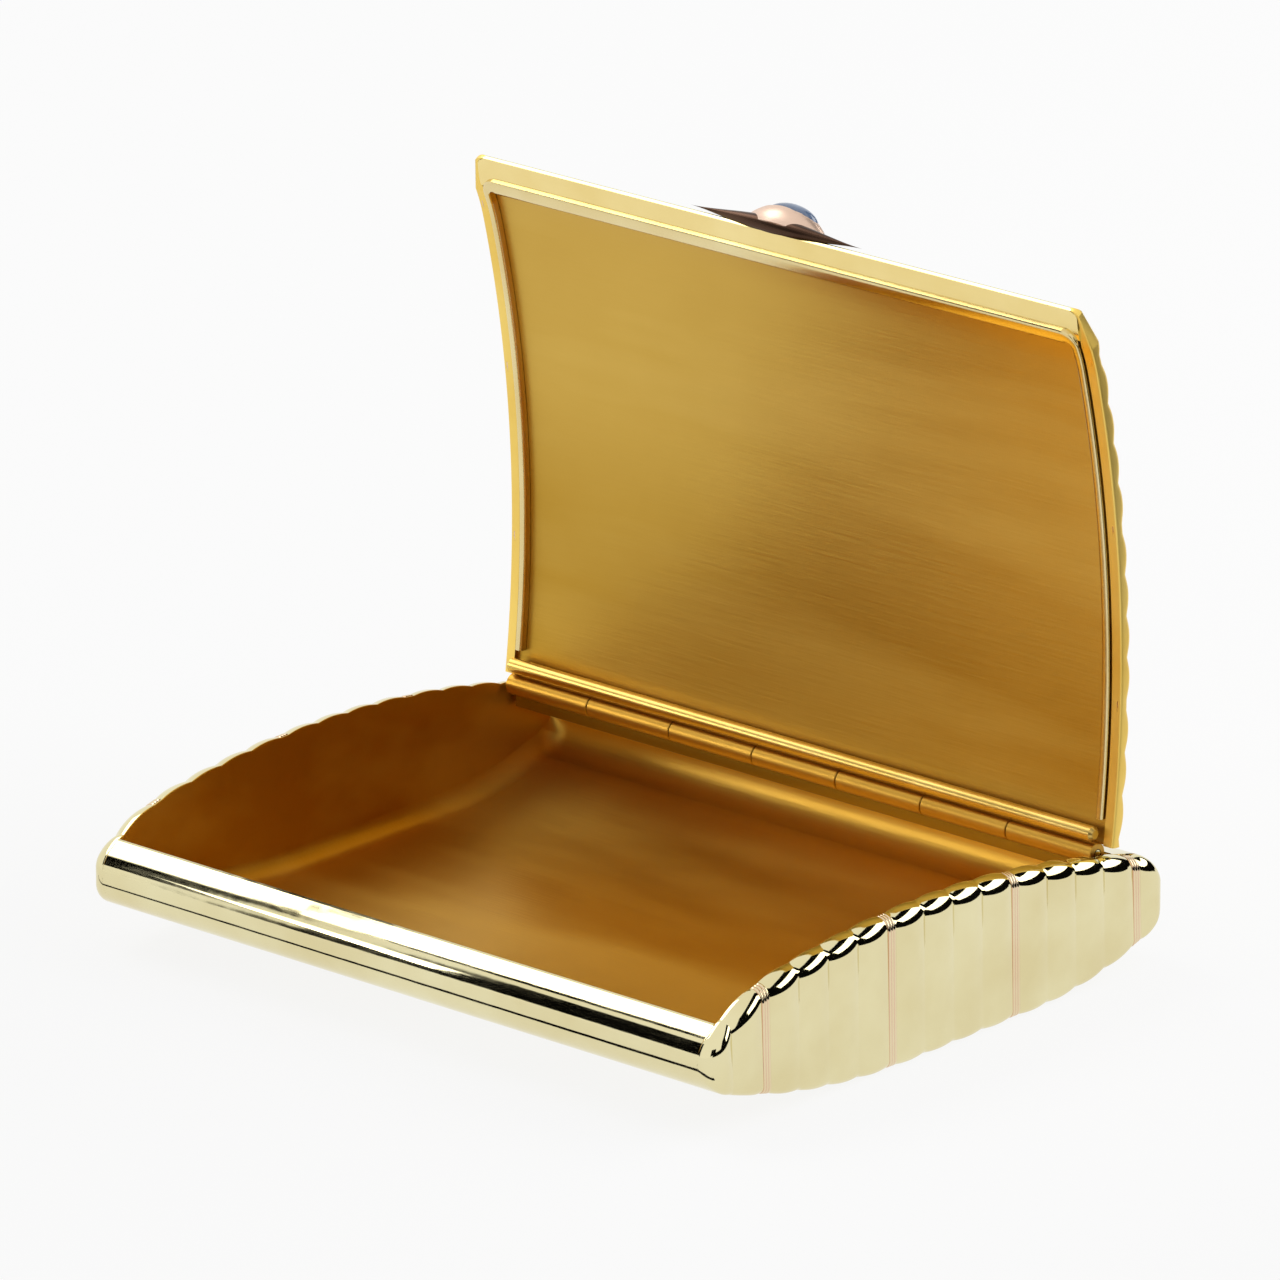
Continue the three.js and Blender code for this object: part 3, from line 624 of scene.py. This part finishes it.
def lip_path():
    """Outer edge of the lip in the plan, as x, y, the way inwards and the width."""
    side = [(LIP_X, y, -1.0, 0.0, LIP_WIDE) for y in np.linspace(LIP_END_Y, LIP_FRONT_Y + LIP_BEND, 40)]
    corner = []
    for turn in np.linspace(0, math.pi / 2, 10)[1:]:
        cos, sin = math.cos(turn), math.sin(turn)
        width = LIP_WIDE + (LIP_FRONT_WIDE - LIP_WIDE) * turn / (math.pi / 2)
        corner.append((LIP_X - LIP_BEND * (1 - cos), LIP_FRONT_Y + LIP_BEND * (1 - sin), -cos, sin, width))
    front = [(x, LIP_FRONT_Y, 0.0, 1.0, LIP_FRONT_WIDE) for x in np.linspace(LIP_X - LIP_BEND, 0, 8)[1:]]
    half = np.array(side + corner + front)
    return np.concatenate([half, (half * [-1, 1, -1, 1, 1])[-2::-1]])


lip_turn = round_turn[::2]
growing, falling = LIP_ROUND * (1 - np.cos(lip_turn)), LIP_ROUND * (1 - np.sin(lip_turn))
lip_section = np.concatenate([
    [[0.0, LIP_ROOT]],
    np.column_stack([growing, falling - LIP_DROP]),
    [[0.5, -LIP_DROP]],
    np.column_stack([1 - falling, growing - LIP_DROP]),
    [[1.0, LIP_ROOT]],
])
lip_rows = []
for x, y, in_x, in_y, width in lip_path():
    across = lip_section[:, 0] * width
    lip_rows.append(arch(x + in_x * across, y + in_y * across, lip_section[:, 1]))
lid_lip = skin("lid_lip_strip", swing(np.array(lip_rows)))
print("lip faces:", len(lid_lip.data.polygons))

# %% [markdown]
# ## The hinge
# Seven knuckles lie end to end on one pin, turn by turn on the tray and on the lid. A cylinder
# would do, but its sharp rim would look printed. Each knuckle is a ring section with eased edges,
# turned round the hinge line, and the strips that carry the knuckles have eased edges too.

# %% Knuckles and hinge strips
KNUCKLE_RADIUS, KNUCKLES, SPAN, KNUCKLE_GAP = 1.3, 7, 2 * 44.7, 0.3
SEAM, TUBE_BORE, TUBE_EASE = 0.1, 0.6, 0.09
knuckle_length = (SPAN - (KNUCKLES - 1) * KNUCKLE_GAP) / KNUCKLES


def turned(name, outline, steps=48):
    """Turns an outline of x and radius round the hinge line."""
    angles = np.linspace(0, 2 * math.pi, steps, endpoint=False)
    rows = [np.column_stack([outline[:, 0], HINGE[0] + outline[:, 1] * math.cos(turn),
                             HINGE[1] + outline[:, 1] * math.sin(turn)]) for turn in angles]
    return skin(name, rows, around=True)


def knuckle(number):
    """One tube of the hinge, a little longer than its solid, so that only a fine seam is open."""
    grow = (KNUCKLE_GAP - SEAM) / 2
    place = -SPAN / 2 + number * (knuckle_length + KNUCKLE_GAP)
    start = place - (grow if number else 0)
    end = place + knuckle_length + (grow if number < KNUCKLES - 1 else 0)
    eased = KNUCKLE_RADIUS - TUBE_EASE
    outline = np.array([[start, TUBE_BORE], [start, eased], [start + TUBE_EASE, KNUCKLE_RADIUS],
                        [end - TUBE_EASE, KNUCKLE_RADIUS], [end, eased], [end, TUBE_BORE]])
    return turned(f"hinge_tube_{number + 1}", outline)


knuckles = [knuckle(i) for i in range(KNUCKLES)]


def strip_along(name, section, half, ease):
    """A strip along the hinge with eased ends: section holds y and z round its middle."""
    middle = section.mean(axis=0)
    rows = []
    for x, shrink in ((-half, ease), (-half + ease, 0), (half - ease, 0), (half, ease)):
        away = section - middle
        scale = 1 - shrink / np.linalg.norm(away, axis=1).max()
        rows.append(np.column_stack([np.full(len(section), x), middle + away * scale]))
    return skin(name, np.array(rows))


LEAF_RADIUS, LEAF_GAP, LEAF_ANGLE, LEAF_STEPS = 0.9, 0.3, math.radians(5), 40
leaf_reach = KNUCKLE_RADIUS + LEAF_GAP + LEAF_RADIUS
leaf_middle = (HINGE[0] - leaf_reach * math.cos(LEAF_ANGLE), HINGE[1] - leaf_reach * math.sin(LEAF_ANGLE))
leaf_section = round_corner(leaf_middle, LEAF_RADIUS, 0, 360, LEAF_STEPS + 1)[:-1]
leaf_open = swing(np.column_stack([np.zeros(LEAF_STEPS), leaf_section]))[:, 1:]
lid_leaf = strip_along("lid_hinge_ridge", leaf_open, SPAN / 2, ease=0.35)

STRIP_WIDE, STRIP_DEEP, STRIP_EASE = 1.15, 1.6, 0.2
strip_top, strip_rear = HINGE[1] - KNUCKLE_RADIUS - SEAM, LIP_Y - SEAM / 2
near_y, far_y = strip_rear - STRIP_WIDE + STRIP_EASE, strip_rear - STRIP_EASE
low_z, high_z = strip_top - STRIP_DEEP + STRIP_EASE, strip_top - STRIP_EASE
strip_corners = [(far_y, low_z, -90), (far_y, high_z, 0), (near_y, high_z, 90), (near_y, low_z, 180)]
strip_section = np.concatenate([round_corner((y, z), STRIP_EASE, start, start + 90, 5)
                                for y, z, start in strip_corners])
tray_leaf = strip_along("tray_hinge_strip", strip_section, SPAN / 2, ease=0.15)
print("knuckles:", len(knuckles), "each", round(knuckle_length, 2), "mm long")

# %% [markdown]
# ## The thumb-piece
# The lid is opened by a small boss on its free edge, on a thin strip that tapers to both ends,
# with a blue-grey stone set on its outer side. A sculpted form would do, but spindles are closer
# to how it is made: each ring is a circle. What of the boss would lie inside the lid is laid on
# the lid's outer face, and a flat is cut for the stone. Where the strip looks inwards, its shade is
# painted into its colour as a near-black rose gold.

# %% Boss, strip and stone
THUMB_Y, STRIP_Y = LID_FRONT + 0.4, LID_FRONT - 0.55
THUMB_BASE = float(rim(THUMB_Y, PARTING + LID_THICK))
THUMB_RISE, STRIP_RISE = 1.3, -0.1
SEAT, SEAT_TILT = 1.5, math.radians(30)
SEAT_MARGIN, LAID_OVER = 0.2, 0.02
SPINDLE_TIP, STONE_TIP = 0.06, 0.02
STONE, STONE_SUNK = (3.7, 2.2, 1.9), 0.02
seat_up = np.array([-math.sin(SEAT_TILT), math.cos(SEAT_TILT)])
seat_side = np.array([math.cos(SEAT_TILT), math.sin(SEAT_TILT)])


def spindle_rows(length, radius, rise, middle_y, taper, seat_half=0.0):
    """Rings of a spindle along the free edge. One with a seat is laid on the lid, and within
    seat_half of the middle its outer side is cut flat for the stone."""
    rows = []
    for share in 0.5 - 0.5 * np.cos(np.linspace(SPINDLE_TIP, math.pi - SPINDLE_TIP, 61)):
        x = length * (share - 0.5)
        size = radius * math.sin(math.pi * share) ** taper
        ring = round_corner((0, 0), size, 0, 360, 57)[:-1]
        if abs(x) < seat_half:
            over = np.clip(ring @ seat_up - SEAT, 0, None)
            ring = ring - over[:, None] * seat_up
        at = ring + [middle_y, THUMB_BASE + rise]
        if seat_half:
            at[:, 1] = np.maximum(at[:, 1], rim(at[:, 0], PARTING + LID_THICK + LAID_OVER))
        rows.append(np.column_stack([np.full(len(at), x), at]))
    return np.array(rows)


boss_rows = spindle_rows(length=12.6, radius=3.0, rise=THUMB_RISE, middle_y=THUMB_Y, taper=0.8,
                         seat_half=STONE[0] + SEAT_MARGIN)
thumb_boss = skin("thumb_boss", swing(boss_rows))
strip_rows = spindle_rows(length=26.0, radius=1.05, rise=STRIP_RISE, middle_y=STRIP_Y, taper=1.6)
# Ring points from SOFT_POINTS on, round the strip's inner side, take a near-black rose gold: painted shade.
SOFT, PAINTED_SHADE, SOFT_POINTS = 0, 1, 22
strip_zones = np.where(np.arange(strip_rows.shape[1]) < SOFT_POINTS, SOFT, PAINTED_SHADE)
thumb_strip = skin("thumb_strip", swing(strip_rows), strip_zones)
stone_rows = []
for turn in np.linspace(STONE_TIP, math.pi - STONE_TIP, 33):
    x = -STONE[0] * math.cos(turn)
    dome = round_corner((0, 0), math.sin(turn), 0, 180, 25)
    height = SEAT - STONE_SUNK + dome[:, 1] * STONE[2]
    at = np.outer(dome[:, 0] * STONE[1], seat_side) + np.outer(height, seat_up)
    stone_rows.append(np.column_stack([np.full(len(at), x), at + [THUMB_Y, THUMB_BASE + THUMB_RISE]]))
thumb_stone = skin("thumb_stone", swing(np.array(stone_rows)))
print("thumb-piece faces:", [len(made.data.polygons) for made in (thumb_boss, thumb_strip, thumb_stone)])

# %% [markdown]
# ## What moves with what
# On the real case all that is soldered to the tray stays with it, and the rest swings with the
# lid. Parenting by hand would do, but the frame already has these two bodies. So each fine piece
# rides on its body and stands for the plain solid that it covers.

# %% Ride and replace
tray_pieces = [trough, right_wall, left_wall, tray_leaf, *tray_bands, *knuckles[0::2]]
lid_pieces = [lid_plate, lid_right, lid_left, lid_lip, lid_leaf, thumb_boss, thumb_strip, thumb_stone,
              *lid_bands, *knuckles[1::2]]
for made in tray_pieces:
    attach(made, "base")
for made in lid_pieces:
    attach(made, "lid")
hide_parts("base_shell")
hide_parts("base_shell")
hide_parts("base_shell")
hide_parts("base_hinge_leaf")
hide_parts("lid_shell")
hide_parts("lid_shell")
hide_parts("lid_shell")
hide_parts("lid_lip")
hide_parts("lid_hinge_leaf")
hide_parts("thumbpiece_mount")
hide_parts("thumbpiece_mount")
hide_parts("thumbpiece_stone")
for i, made in enumerate(tray_bands):
    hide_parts(f"base_band_{i + 1}")
for i, made in enumerate(lid_bands):
    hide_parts(f"lid_band_{i + 1}")
for i, made in enumerate(knuckles):
    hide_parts(f"{'lid' if i % 2 else 'base'}_knuckle_{i // 2 + 1}")
print("pieces on the tray:", len(tray_pieces), "on the lid:", len(lid_pieces))

# %% [markdown]
# ## A way to write shaders
# A finish is a small sum: a base value, plus a bit of cloud, plus a bit of scratch. Wiring such a
# sum by hand takes a page of node calls. This class wraps a socket so that the sum can be written
# as it is thought, and every node that isn't a sum comes from its one method.

# %% Sockets that add and multiply
class Flow:
    """A shader socket that makes Math nodes when it is used in a sum."""

    def __init__(self, tree, socket=None):
        self.tree = tree
        self.socket = socket

    def node(self, kind, settings=None, sockets=None, out=0):
        """Makes a node, sets it up, feeds its sockets and gives one of its outputs."""
        made = self.tree.nodes.new(kind)
        for key, value in (settings or {}).items():
            setattr(made, key, value)
        for key, value in (sockets or {}).items():
            if isinstance(value, Flow):
                self.tree.links.new(value.socket, made.inputs[key])
            else:
                made.inputs[key].default_value = value
        return Flow(self.tree, made.outputs[out] if made.outputs else None)

    def sum_node(self, operation, first, second):
        return self.node("ShaderNodeMath", {"operation": operation}, {0: first, 1: second})

    def __add__(self, other):
        return self.sum_node("ADD", self, other)

    def __radd__(self, other):
        return self.sum_node("ADD", other, self)

    def __mul__(self, other):
        return self.sum_node("MULTIPLY", self, other)

    def __rmul__(self, other):
        return self.sum_node("MULTIPLY", other, self)


def begin(name):
    """A new material with an empty tree."""
    material = bpy.data.materials.new(name)
    material.use_nodes = True
    material.node_tree.nodes.clear()
    return material, Flow(material.node_tree)


EVEN, STRAIGHT = (1, 1, 1), (0, 0, 0)


def noise(flow, stretch, turn, scale, detail):
    """Noise over the piece, stretched and turned to follow a maker's strokes."""
    place = flow.node("ShaderNodeTexCoord", out=3)
    laid = flow.node("ShaderNodeMapping", None, {"Vector": place, "Scale": stretch, "Rotation": turn})
    return flow.node("ShaderNodeTexNoise", None, {"Vector": laid, "Scale": scale, "Detail": detail})


def spread(flow, value, low, high):
    """Stretches the part of a value between low and high over 0 to 1."""
    return flow.node("ShaderNodeMapRange", None, {"Value": value, "From Min": low, "From Max": high})


def blend(flow, share, first, second):
    """Mixes two colours by a share."""
    return flow.node("ShaderNodeMix", {"data_type": "RGBA"}, {0: share, 6: first, 7: second}, out=2)


print("sums of sockets ready")

# %% [markdown]
# ## Polished gold
# The outside is polished to a mirror. A perfect mirror looks like plastic foil, so three things
# are added that every handled case has: a faint change of colour in patches, hair scratches along
# the reeds that spread the reflections a little, and a slight unevenness from hand polishing.

# %% Polished yellow gold and rose gold
def polished(name, deep, pale, rough):
    """Polished gold that changes in patches between two colours."""
    material, flow = begin(name)
    cloud = spread(flow, noise(flow, EVEN, STRAIGHT, scale=90, detail=3), 0.3, 0.7)
    hair = spread(flow, noise(flow, (0.12, 1.6, 1.6), (0.1, 0.15, 0.3), scale=1500, detail=4), 0.45, 0.75)
    dent = noise(flow, EVEN, STRAIGHT, scale=160, detail=2)
    height = dent * 0.6 + hair * 0.02
    bump = flow.node("ShaderNodeBump", None, {"Strength": 0.06, "Distance": 0.0006, "Height": height})
    shader = flow.node("ShaderNodeBsdfPrincipled", None, {
        "Base Color": blend(flow, cloud, deep, pale),
        "Metallic": 1.0,
        "Roughness": rough + cloud * 0.03 + hair * 0.05,
        "Normal": bump,
    })
    flow.node("ShaderNodeOutputMaterial", None, {"Surface": shader})
    return material


yellow_gold = polished("yellow_gold", (0.73, 0.64, 0.355, 1), (0.81, 0.745, 0.46, 1), 0.045)
rose_gold = polished("rose_gold", (0.74, 0.49, 0.34, 1), (0.82, 0.60, 0.45, 1), 0.12)
pale_edge = polished("pale_gold_edge", (0.74, 0.58, 0.26, 1), (0.82, 0.70, 0.38, 1), 0.16)
# A paler, warmer gold for the lid's free edge and bevel: a painted highlight.
free_edge_painted_highlight_gold = polished("free_edge_painted_highlight", (0.84, 0.65, 0.25, 1), (0.92, 0.75, 0.34, 1), 0.12)
# A deeper, warmer gold for the lid's sides: a painted reflection.
lid_side_painted_reflection_gold = polished("lid_side_painted_reflection", (0.88, 0.59, 0.12, 1), (0.95, 0.69, 0.18, 1), 0.32)
# A darker gold for the lid's hinge ridge: polished gold with painted shade that dims its reflection.
hinge_ridge_painted_shade_gold = polished("hinge_ridge_painted_shade_gold", (0.60, 0.39, 0.09, 1), (0.72, 0.50, 0.15, 1), 0.28)
rib_gold = polished("pale_rose_rib", (0.76, 0.62, 0.38, 1), (0.82, 0.71, 0.47, 1), 0.10)
soft_rose = polished("soft_rose_boss", (0.74, 0.53, 0.40, 1), (0.82, 0.62, 0.50, 1), 0.35)
# A near-black rose gold for the inner side of the thumb strip: painted shade.
painted_shade_rose = polished("rose_strip_painted_shade", (0.05, 0.026, 0.016, 1), (0.10, 0.055, 0.035, 1), 0.25)
golds = [yellow_gold, rose_gold, pale_edge, free_edge_painted_highlight_gold, lid_side_painted_reflection_gold, hinge_ridge_painted_shade_gold, rib_gold, soft_rose, painted_shade_rose]
print("polished finishes:", [gold.name for gold in golds])

# %% [markdown]
# ## Satin gilding
# The inside is gilded and brushed, not polished: it is deeper in colour, and cloudy where it has
# been wiped. Anisotropy would give the brush its stretched highlight, but the clouds matter more
# here, so long soft streaks of noise change the colour and the roughness instead. Higher up, and
# more so towards +x, the gilding is painted paler: a painted light, with painted shade lower down.

# %% Gilt inside and hinge gold
# Heights, leaning with x, over which the gilding turns paler: painted light, with painted shade below.
PAINTED_LIGHT_FROM, PAINTED_LIGHT_TO, PAINTED_LIGHT_LEAN = 0.022, 0.046, 0.15


def gilded(name, deep, pale, rough, painted_light_share=0.25):
    """Brushed gilding between two colours. painted_light_share is the share in the change of a
    painted light, paler higher up and towards +x.
    """
    material, flow = begin(name)
    place = flow.node("ShaderNodeTexCoord", out=3)
    along = flow.node("ShaderNodeSeparateXYZ", None, {0: place}, out=0)
    height = flow.node("ShaderNodeSeparateXYZ", None, {0: place}, out=2)
    # Painted light: paler higher up and towards +x.
    painted_light = spread(flow, height + along * PAINTED_LIGHT_LEAN, PAINTED_LIGHT_FROM, PAINTED_LIGHT_TO)
    wiped = spread(flow, noise(flow, (0.25, 1.0, 1.7), (0, 0.5, 0), scale=42, detail=3), 0.42, 0.58)
    cloud = spread(flow, noise(flow, EVEN, STRAIGHT, scale=70, detail=3), 0.3, 0.7)
    brush = noise(flow, (0.06, 1, 1), (0.25, 0.2, 0.1), scale=2600, detail=3)
    share = (wiped * 0.65 + cloud * 0.2 + brush * 0.15) * (1 - painted_light_share) + painted_light * painted_light_share
    relief = brush + cloud * 0.5
    bump = flow.node("ShaderNodeBump", None, {"Strength": 0.10, "Distance": 0.0002, "Height": relief})
    shader = flow.node("ShaderNodeBsdfPrincipled", None, {
        "Base Color": blend(flow, share, deep, pale),
        "Metallic": 1.0,
        "Roughness": rough + wiped * 0.10 + brush * 0.06,
        "Normal": bump,
    })
    flow.node("ShaderNodeOutputMaterial", None, {"Surface": shader})
    return material


gilt_inside = gilded("gilt_inside", (0.58, 0.29, 0.018, 1), (0.78, 0.49, 0.09, 1), 0.32)
# The lid's gilding is a darker copy of the inside's: painted shade against the light the strip lamp throws
# on it, and more of its change is the painted light.
gilt_lid = gilded("gilt_lid", (0.45, 0.235, 0.015, 1), (0.74, 0.495, 0.108, 1), 0.32, 0.55)
# The knuckles' gilding is darker than the inside's: part gilding, part painted shade.
hinge_gilt_painted_shade = gilded("hinge_gilt_painted_shade", (0.46, 0.22, 0.02, 1), (0.58, 0.34, 0.06, 1), 0.28)
# A dark olive gilding for the strip under the knuckles: painted shade on the gilding.
hinge_strip_painted_shade = gilded("hinge_strip_painted_shade", (0.26, 0.15, 0.01, 1), (0.36, 0.22, 0.03, 1), 0.30)
print("satin finishes:", gilt_inside.name, gilt_lid.name, hinge_gilt_painted_shade.name, hinge_strip_painted_shade.name)

# %% [markdown]
# ## The stone
# The stone is a smooth domed cabochon. Real ones are never one flat colour: a slow change of blue
# and grey runs through them, and the polish carries fine scratches. It could be made of glass that
# light passes through, but so dark a stone on metal shows only its colour and its gloss.

# %% Blue-grey cabochon
stone_blue, flow = begin("stone")
veins = spread(flow, noise(flow, EVEN, (0.3, 0.2, 0), scale=420, detail=4), 0.3, 0.7)
scuff = noise(flow, EVEN, STRAIGHT, scale=2500, detail=3)
stone_shader = flow.node("ShaderNodeBsdfPrincipled", None, {
    "Base Color": blend(flow, veins, (0.10, 0.15, 0.26, 1), (0.24, 0.31, 0.44, 1)),
    "Roughness": 0.05 + scuff * 0.06,
    "Normal": flow.node("ShaderNodeBump", None, {"Strength": 0.05, "Distance": 0.0002, "Height": scuff}),
    "IOR": 1.62,
})
flow.node("ShaderNodeOutputMaterial", None, {"Surface": stone_shader})
print("stone finish:", stone_blue.name)

# %% Give every piece its finish
bare_solids = [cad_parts[name] for name in ("hinge_pin", "pin_plug_left", "pin_plug_right")]
finishes = [
    ("yellow_gold", (yellow_gold, gilt_inside), [trough, right_wall, left_wall]),
    ("yellow_gold", (yellow_gold, gilt_lid, free_edge_painted_highlight_gold), [lid_plate]),
    ("yellow_gold", (yellow_gold, gilt_lid, lid_side_painted_reflection_gold), [lid_right, lid_left]),
    ("yellow_gold", (pale_edge,), [lid_lip]),
    ("yellow_gold", (hinge_ridge_painted_shade_gold,), [lid_leaf]),
    ("rose_gold", (rose_gold, rib_gold), [*tray_bands, *lid_bands]),
    ("rose_gold", (soft_rose,), [thumb_boss]),
    ("rose_gold", (soft_rose, painted_shade_rose), [thumb_strip]),
    ("gilt_inside", (hinge_strip_painted_shade,), [tray_leaf]),
    ("gilt_inside", (hinge_gilt_painted_shade,), knuckles),
    ("stone", (stone_blue,), [thumb_stone]),
    ("yellow_gold", (yellow_gold,), bare_solids),
]
for slot_name, materials, dressed in finishes:
    for made in dressed:
        if made.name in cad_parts:
            made.data.materials.clear()
        for material in materials:
            made.data.materials.append(material)
print("dressed pieces:", sum(len(dressed) for _, _, dressed in finishes))

# %% [markdown]
# ## Stage and light
# Polished metal shows the room more than itself. A white room makes it pale, and the dark lines
# along the rail and over the reeds come from dark cards beside the set, as a photographer of
# silver uses. The cards for the rail could be moved about by eye. Instead it is worked out where
# the rail's mirror looks, so that each streak can be drawn along the rail itself. A small strip
# light reaches into the tray. The floor and the room are white to the camera and in the
# reflections, and the floor keeps a soft shadow.

# %% White floor and room
FLOOR_HALF, FLOOR_PALE, FLOOR_GLOW = 8, 0.86, 0.86
ROOM_LIGHT = 0.5


def white_share(flow):
    """1 for the rays that see the background itself: from the camera, a mirror or glass."""
    rays = [flow.node("ShaderNodeLightPath", out=name) for name in
            ("Is Camera Ray", "Is Glossy Ray", "Is Transmission Ray")]
    return flow.node("ShaderNodeClamp", None, {"Value": rays[0] + rays[1] + rays[2]})


floor_white, flow = begin("floor_white")
floor_paint = flow.node("ShaderNodeBsdfDiffuse", None, {"Color": (FLOOR_PALE, FLOOR_PALE, FLOOR_PALE, 1)})
floor_glow = flow.node("ShaderNodeEmission", None, {"Color": (1, 1, 1, 1), "Strength": 1.0})
floor_share = white_share(flow) * FLOOR_GLOW
floor_mix = flow.node("ShaderNodeMixShader", None, {0: floor_share, 1: floor_paint, 2: floor_glow})
flow.node("ShaderNodeOutputMaterial", None, {"Surface": floor_mix})
floor_mesh = bpy.data.meshes.new("floor")
floor_corners = [(x * FLOOR_HALF, y * FLOOR_HALF, 0) for x, y in ((-1, -1), (1, -1), (1, 1), (-1, 1))]
floor_mesh.from_pydata(floor_corners, [], [(0, 1, 2, 3)])
floor_mesh.materials.append(floor_white)
floor = bpy.data.objects.new("floor", floor_mesh)
bpy.context.scene.collection.objects.link(floor)

room = bpy.data.worlds.new("white_room")
bpy.context.scene.world = room
room.use_nodes = True
room.node_tree.nodes.clear()
flow = Flow(room.node_tree)
room_level = white_share(flow) * (1 - ROOM_LIGHT) + ROOM_LIGHT
sky = flow.node("ShaderNodeBackground", None, {"Color": (1, 1, 1, 1), "Strength": room_level})
flow.node("ShaderNodeOutputWorld", None, {"Surface": sky})
print("white room and floor ready")

# %% Lamps and dark cards
def face_to(made, target):
    """Turns a lamp towards a place."""
    made.rotation_mode = "QUATERNION"
    made.rotation_quaternion = (Vector(target) - made.location).to_track_quat("-Z", "Y")


def lamp(name, place, size, power, target=(0, 0, 0.03), fan=180):
    """A soft lamp that the camera doesn't see. fan is how wide it shines, in degrees."""
    data = bpy.data.lights.new(name, "AREA")
    data.shape, data.size, data.size_y, data.energy = "RECTANGLE", size[0], size[1], power
    made = bpy.data.objects.new(name, data)
    made.location = place
    face_to(made, target)
    made.visible_camera = False
    data.spread = math.radians(fan)
    bpy.context.scene.collection.objects.link(made)
    return made


dark_card, flow = begin("dark_card")
CARD_DARK = 0.004
card_paint = flow.node("ShaderNodeBsdfDiffuse", None, {"Color": (CARD_DARK, CARD_DARK, CARD_DARK, 1)})
flow.node("ShaderNodeOutputMaterial", None, {"Surface": card_paint})


def card(name, corners, faces=None, shades=True):
    """A dark card with given corners, which only mirrors see. shades lets it cast a shadow."""
    mesh = bpy.data.meshes.new(name)
    mesh.from_pydata(corners, [], faces or [list(range(len(corners)))])
    mesh.materials.append(dark_card)
    made = bpy.data.objects.new(name, mesh)
    made.visible_camera = made.visible_diffuse = False
    made.visible_shadow = shades
    bpy.context.scene.collection.objects.link(made)
    return made


TO_CAMERA = Vector((0.627, -0.708, 0.325))
CARD_WAY = 0.6
STREAK_STEPS = 6


def seen_in_rail(x, tilt):
    """Where the rail's mirror looks, at x along it, where it faces up by tilt degrees."""
    turn = math.radians(tilt)
    normal = Vector((0, -math.cos(turn), math.sin(turn)))
    start = Vector((x, RAIL[0], RAIL[1])) * MM + normal * RAIL_RADIUS * MM
    return start + (normal * 2 * normal.dot(TO_CAMERA) - TO_CAMERA) * CARD_WAY


def rail_card(name, stations):
    """A dark card that the rail shows as a streak: each station gives an x along the rail, and the
    tilts between which the streak lies there."""
    corners, faces = [], []
    for row, (x, low, high) in enumerate(stations):
        corners += [seen_in_rail(x, tilt) for tilt in np.linspace(low, high, STREAK_STEPS)]
        if row:
            last, this = (row - 1) * STREAK_STEPS, row * STREAK_STEPS
            faces += [(last + i, last + i + 1, this + i + 1, this + i) for i in range(STREAK_STEPS - 1)]
    return card(name, corners, faces)


lamp("overhead_softbox", (-0.76, -0.10, 0.93), (0.7, 0.5), power=3.1)
lamp("side_softbox", (0.36, 0.52, 0.41), (0.95, 0.29), power=2.6)
lamp("rail_strip_light", (-0.07, -0.042, 0.036), (0.11, 0.024), power=0.0013,
     target=(0, 0.036, 0.005), fan=24)
rail_card("rail_card_main", [(-48, 13, 15), (-30, 13, 20), (-18, 14, 27), (0, 15, 34), (22, 16, 37),
                             (140, 13, 36)])
rail_card("rail_card_upper", [(-140, 22, 40), (-47, 24, 42), (-31, 38, 49), (-12, 55, 58)])
rail_card("rail_card_top", [(-20, 45, 46), (0, 43, 47), (22, 44, 48.5), (140, 48, 53)])
FLOOR_GAP = 0.0003
card("front_strip", [(-0.07, -0.0455, FLOOR_GAP), (0.06, -0.0455, FLOOR_GAP), (0.06, -0.0485, FLOOR_GAP),
                     (-0.07, -0.0467, FLOOR_GAP)], shades=False)
card("low_right_card", [(0.15, -0.15, 0.0), (0.15, 0.45, 0.0), (0.15, 0.45, 0.041), (0.15, -0.15, 0.041)])
card("rear_right_card", [(1.5, -0.2, 0.03), (-0.52, 1.8, 0.03), (-0.52, 1.8, 2.0), (1.5, -0.2, 1.3)])
card("camera_card", [(1.05, -1.95, 0.2), (1.85, -1.25, 0.2), (1.85, -1.25, 1.3), (1.05, -1.95, 1.3)])
print("lamps and cards set")

# %% [markdown]
# ## The camera
# The photograph was taken from far off with a long lens, from the right front and a little above.
# A view without perspective would come close, but the lines along the hinge draw together a
# little, so the camera keeps a true distance.

# %% Camera
camera_data = bpy.data.cameras.new("camera")
camera_data.lens, camera_data.sensor_width = 374.65, 36.0
camera_data.clip_start, camera_data.clip_end = 0.05, 50.0
camera = bpy.data.objects.new("camera", camera_data)
camera.location = (0.94914, -1.06879, 0.52826)
camera.rotation_mode = "QUATERNION"
camera.rotation_quaternion = Vector((-0.62736, 0.70787, -0.32457)).to_track_quat("-Z", "Y")
bpy.context.scene.collection.objects.link(camera)
bpy.context.scene.camera = camera
bpy.context.scene.view_settings.view_transform = "Standard"
print("camera at", [round(v, 3) for v in camera.location])

# %% Update the scene
bpy.context.view_layer.update()
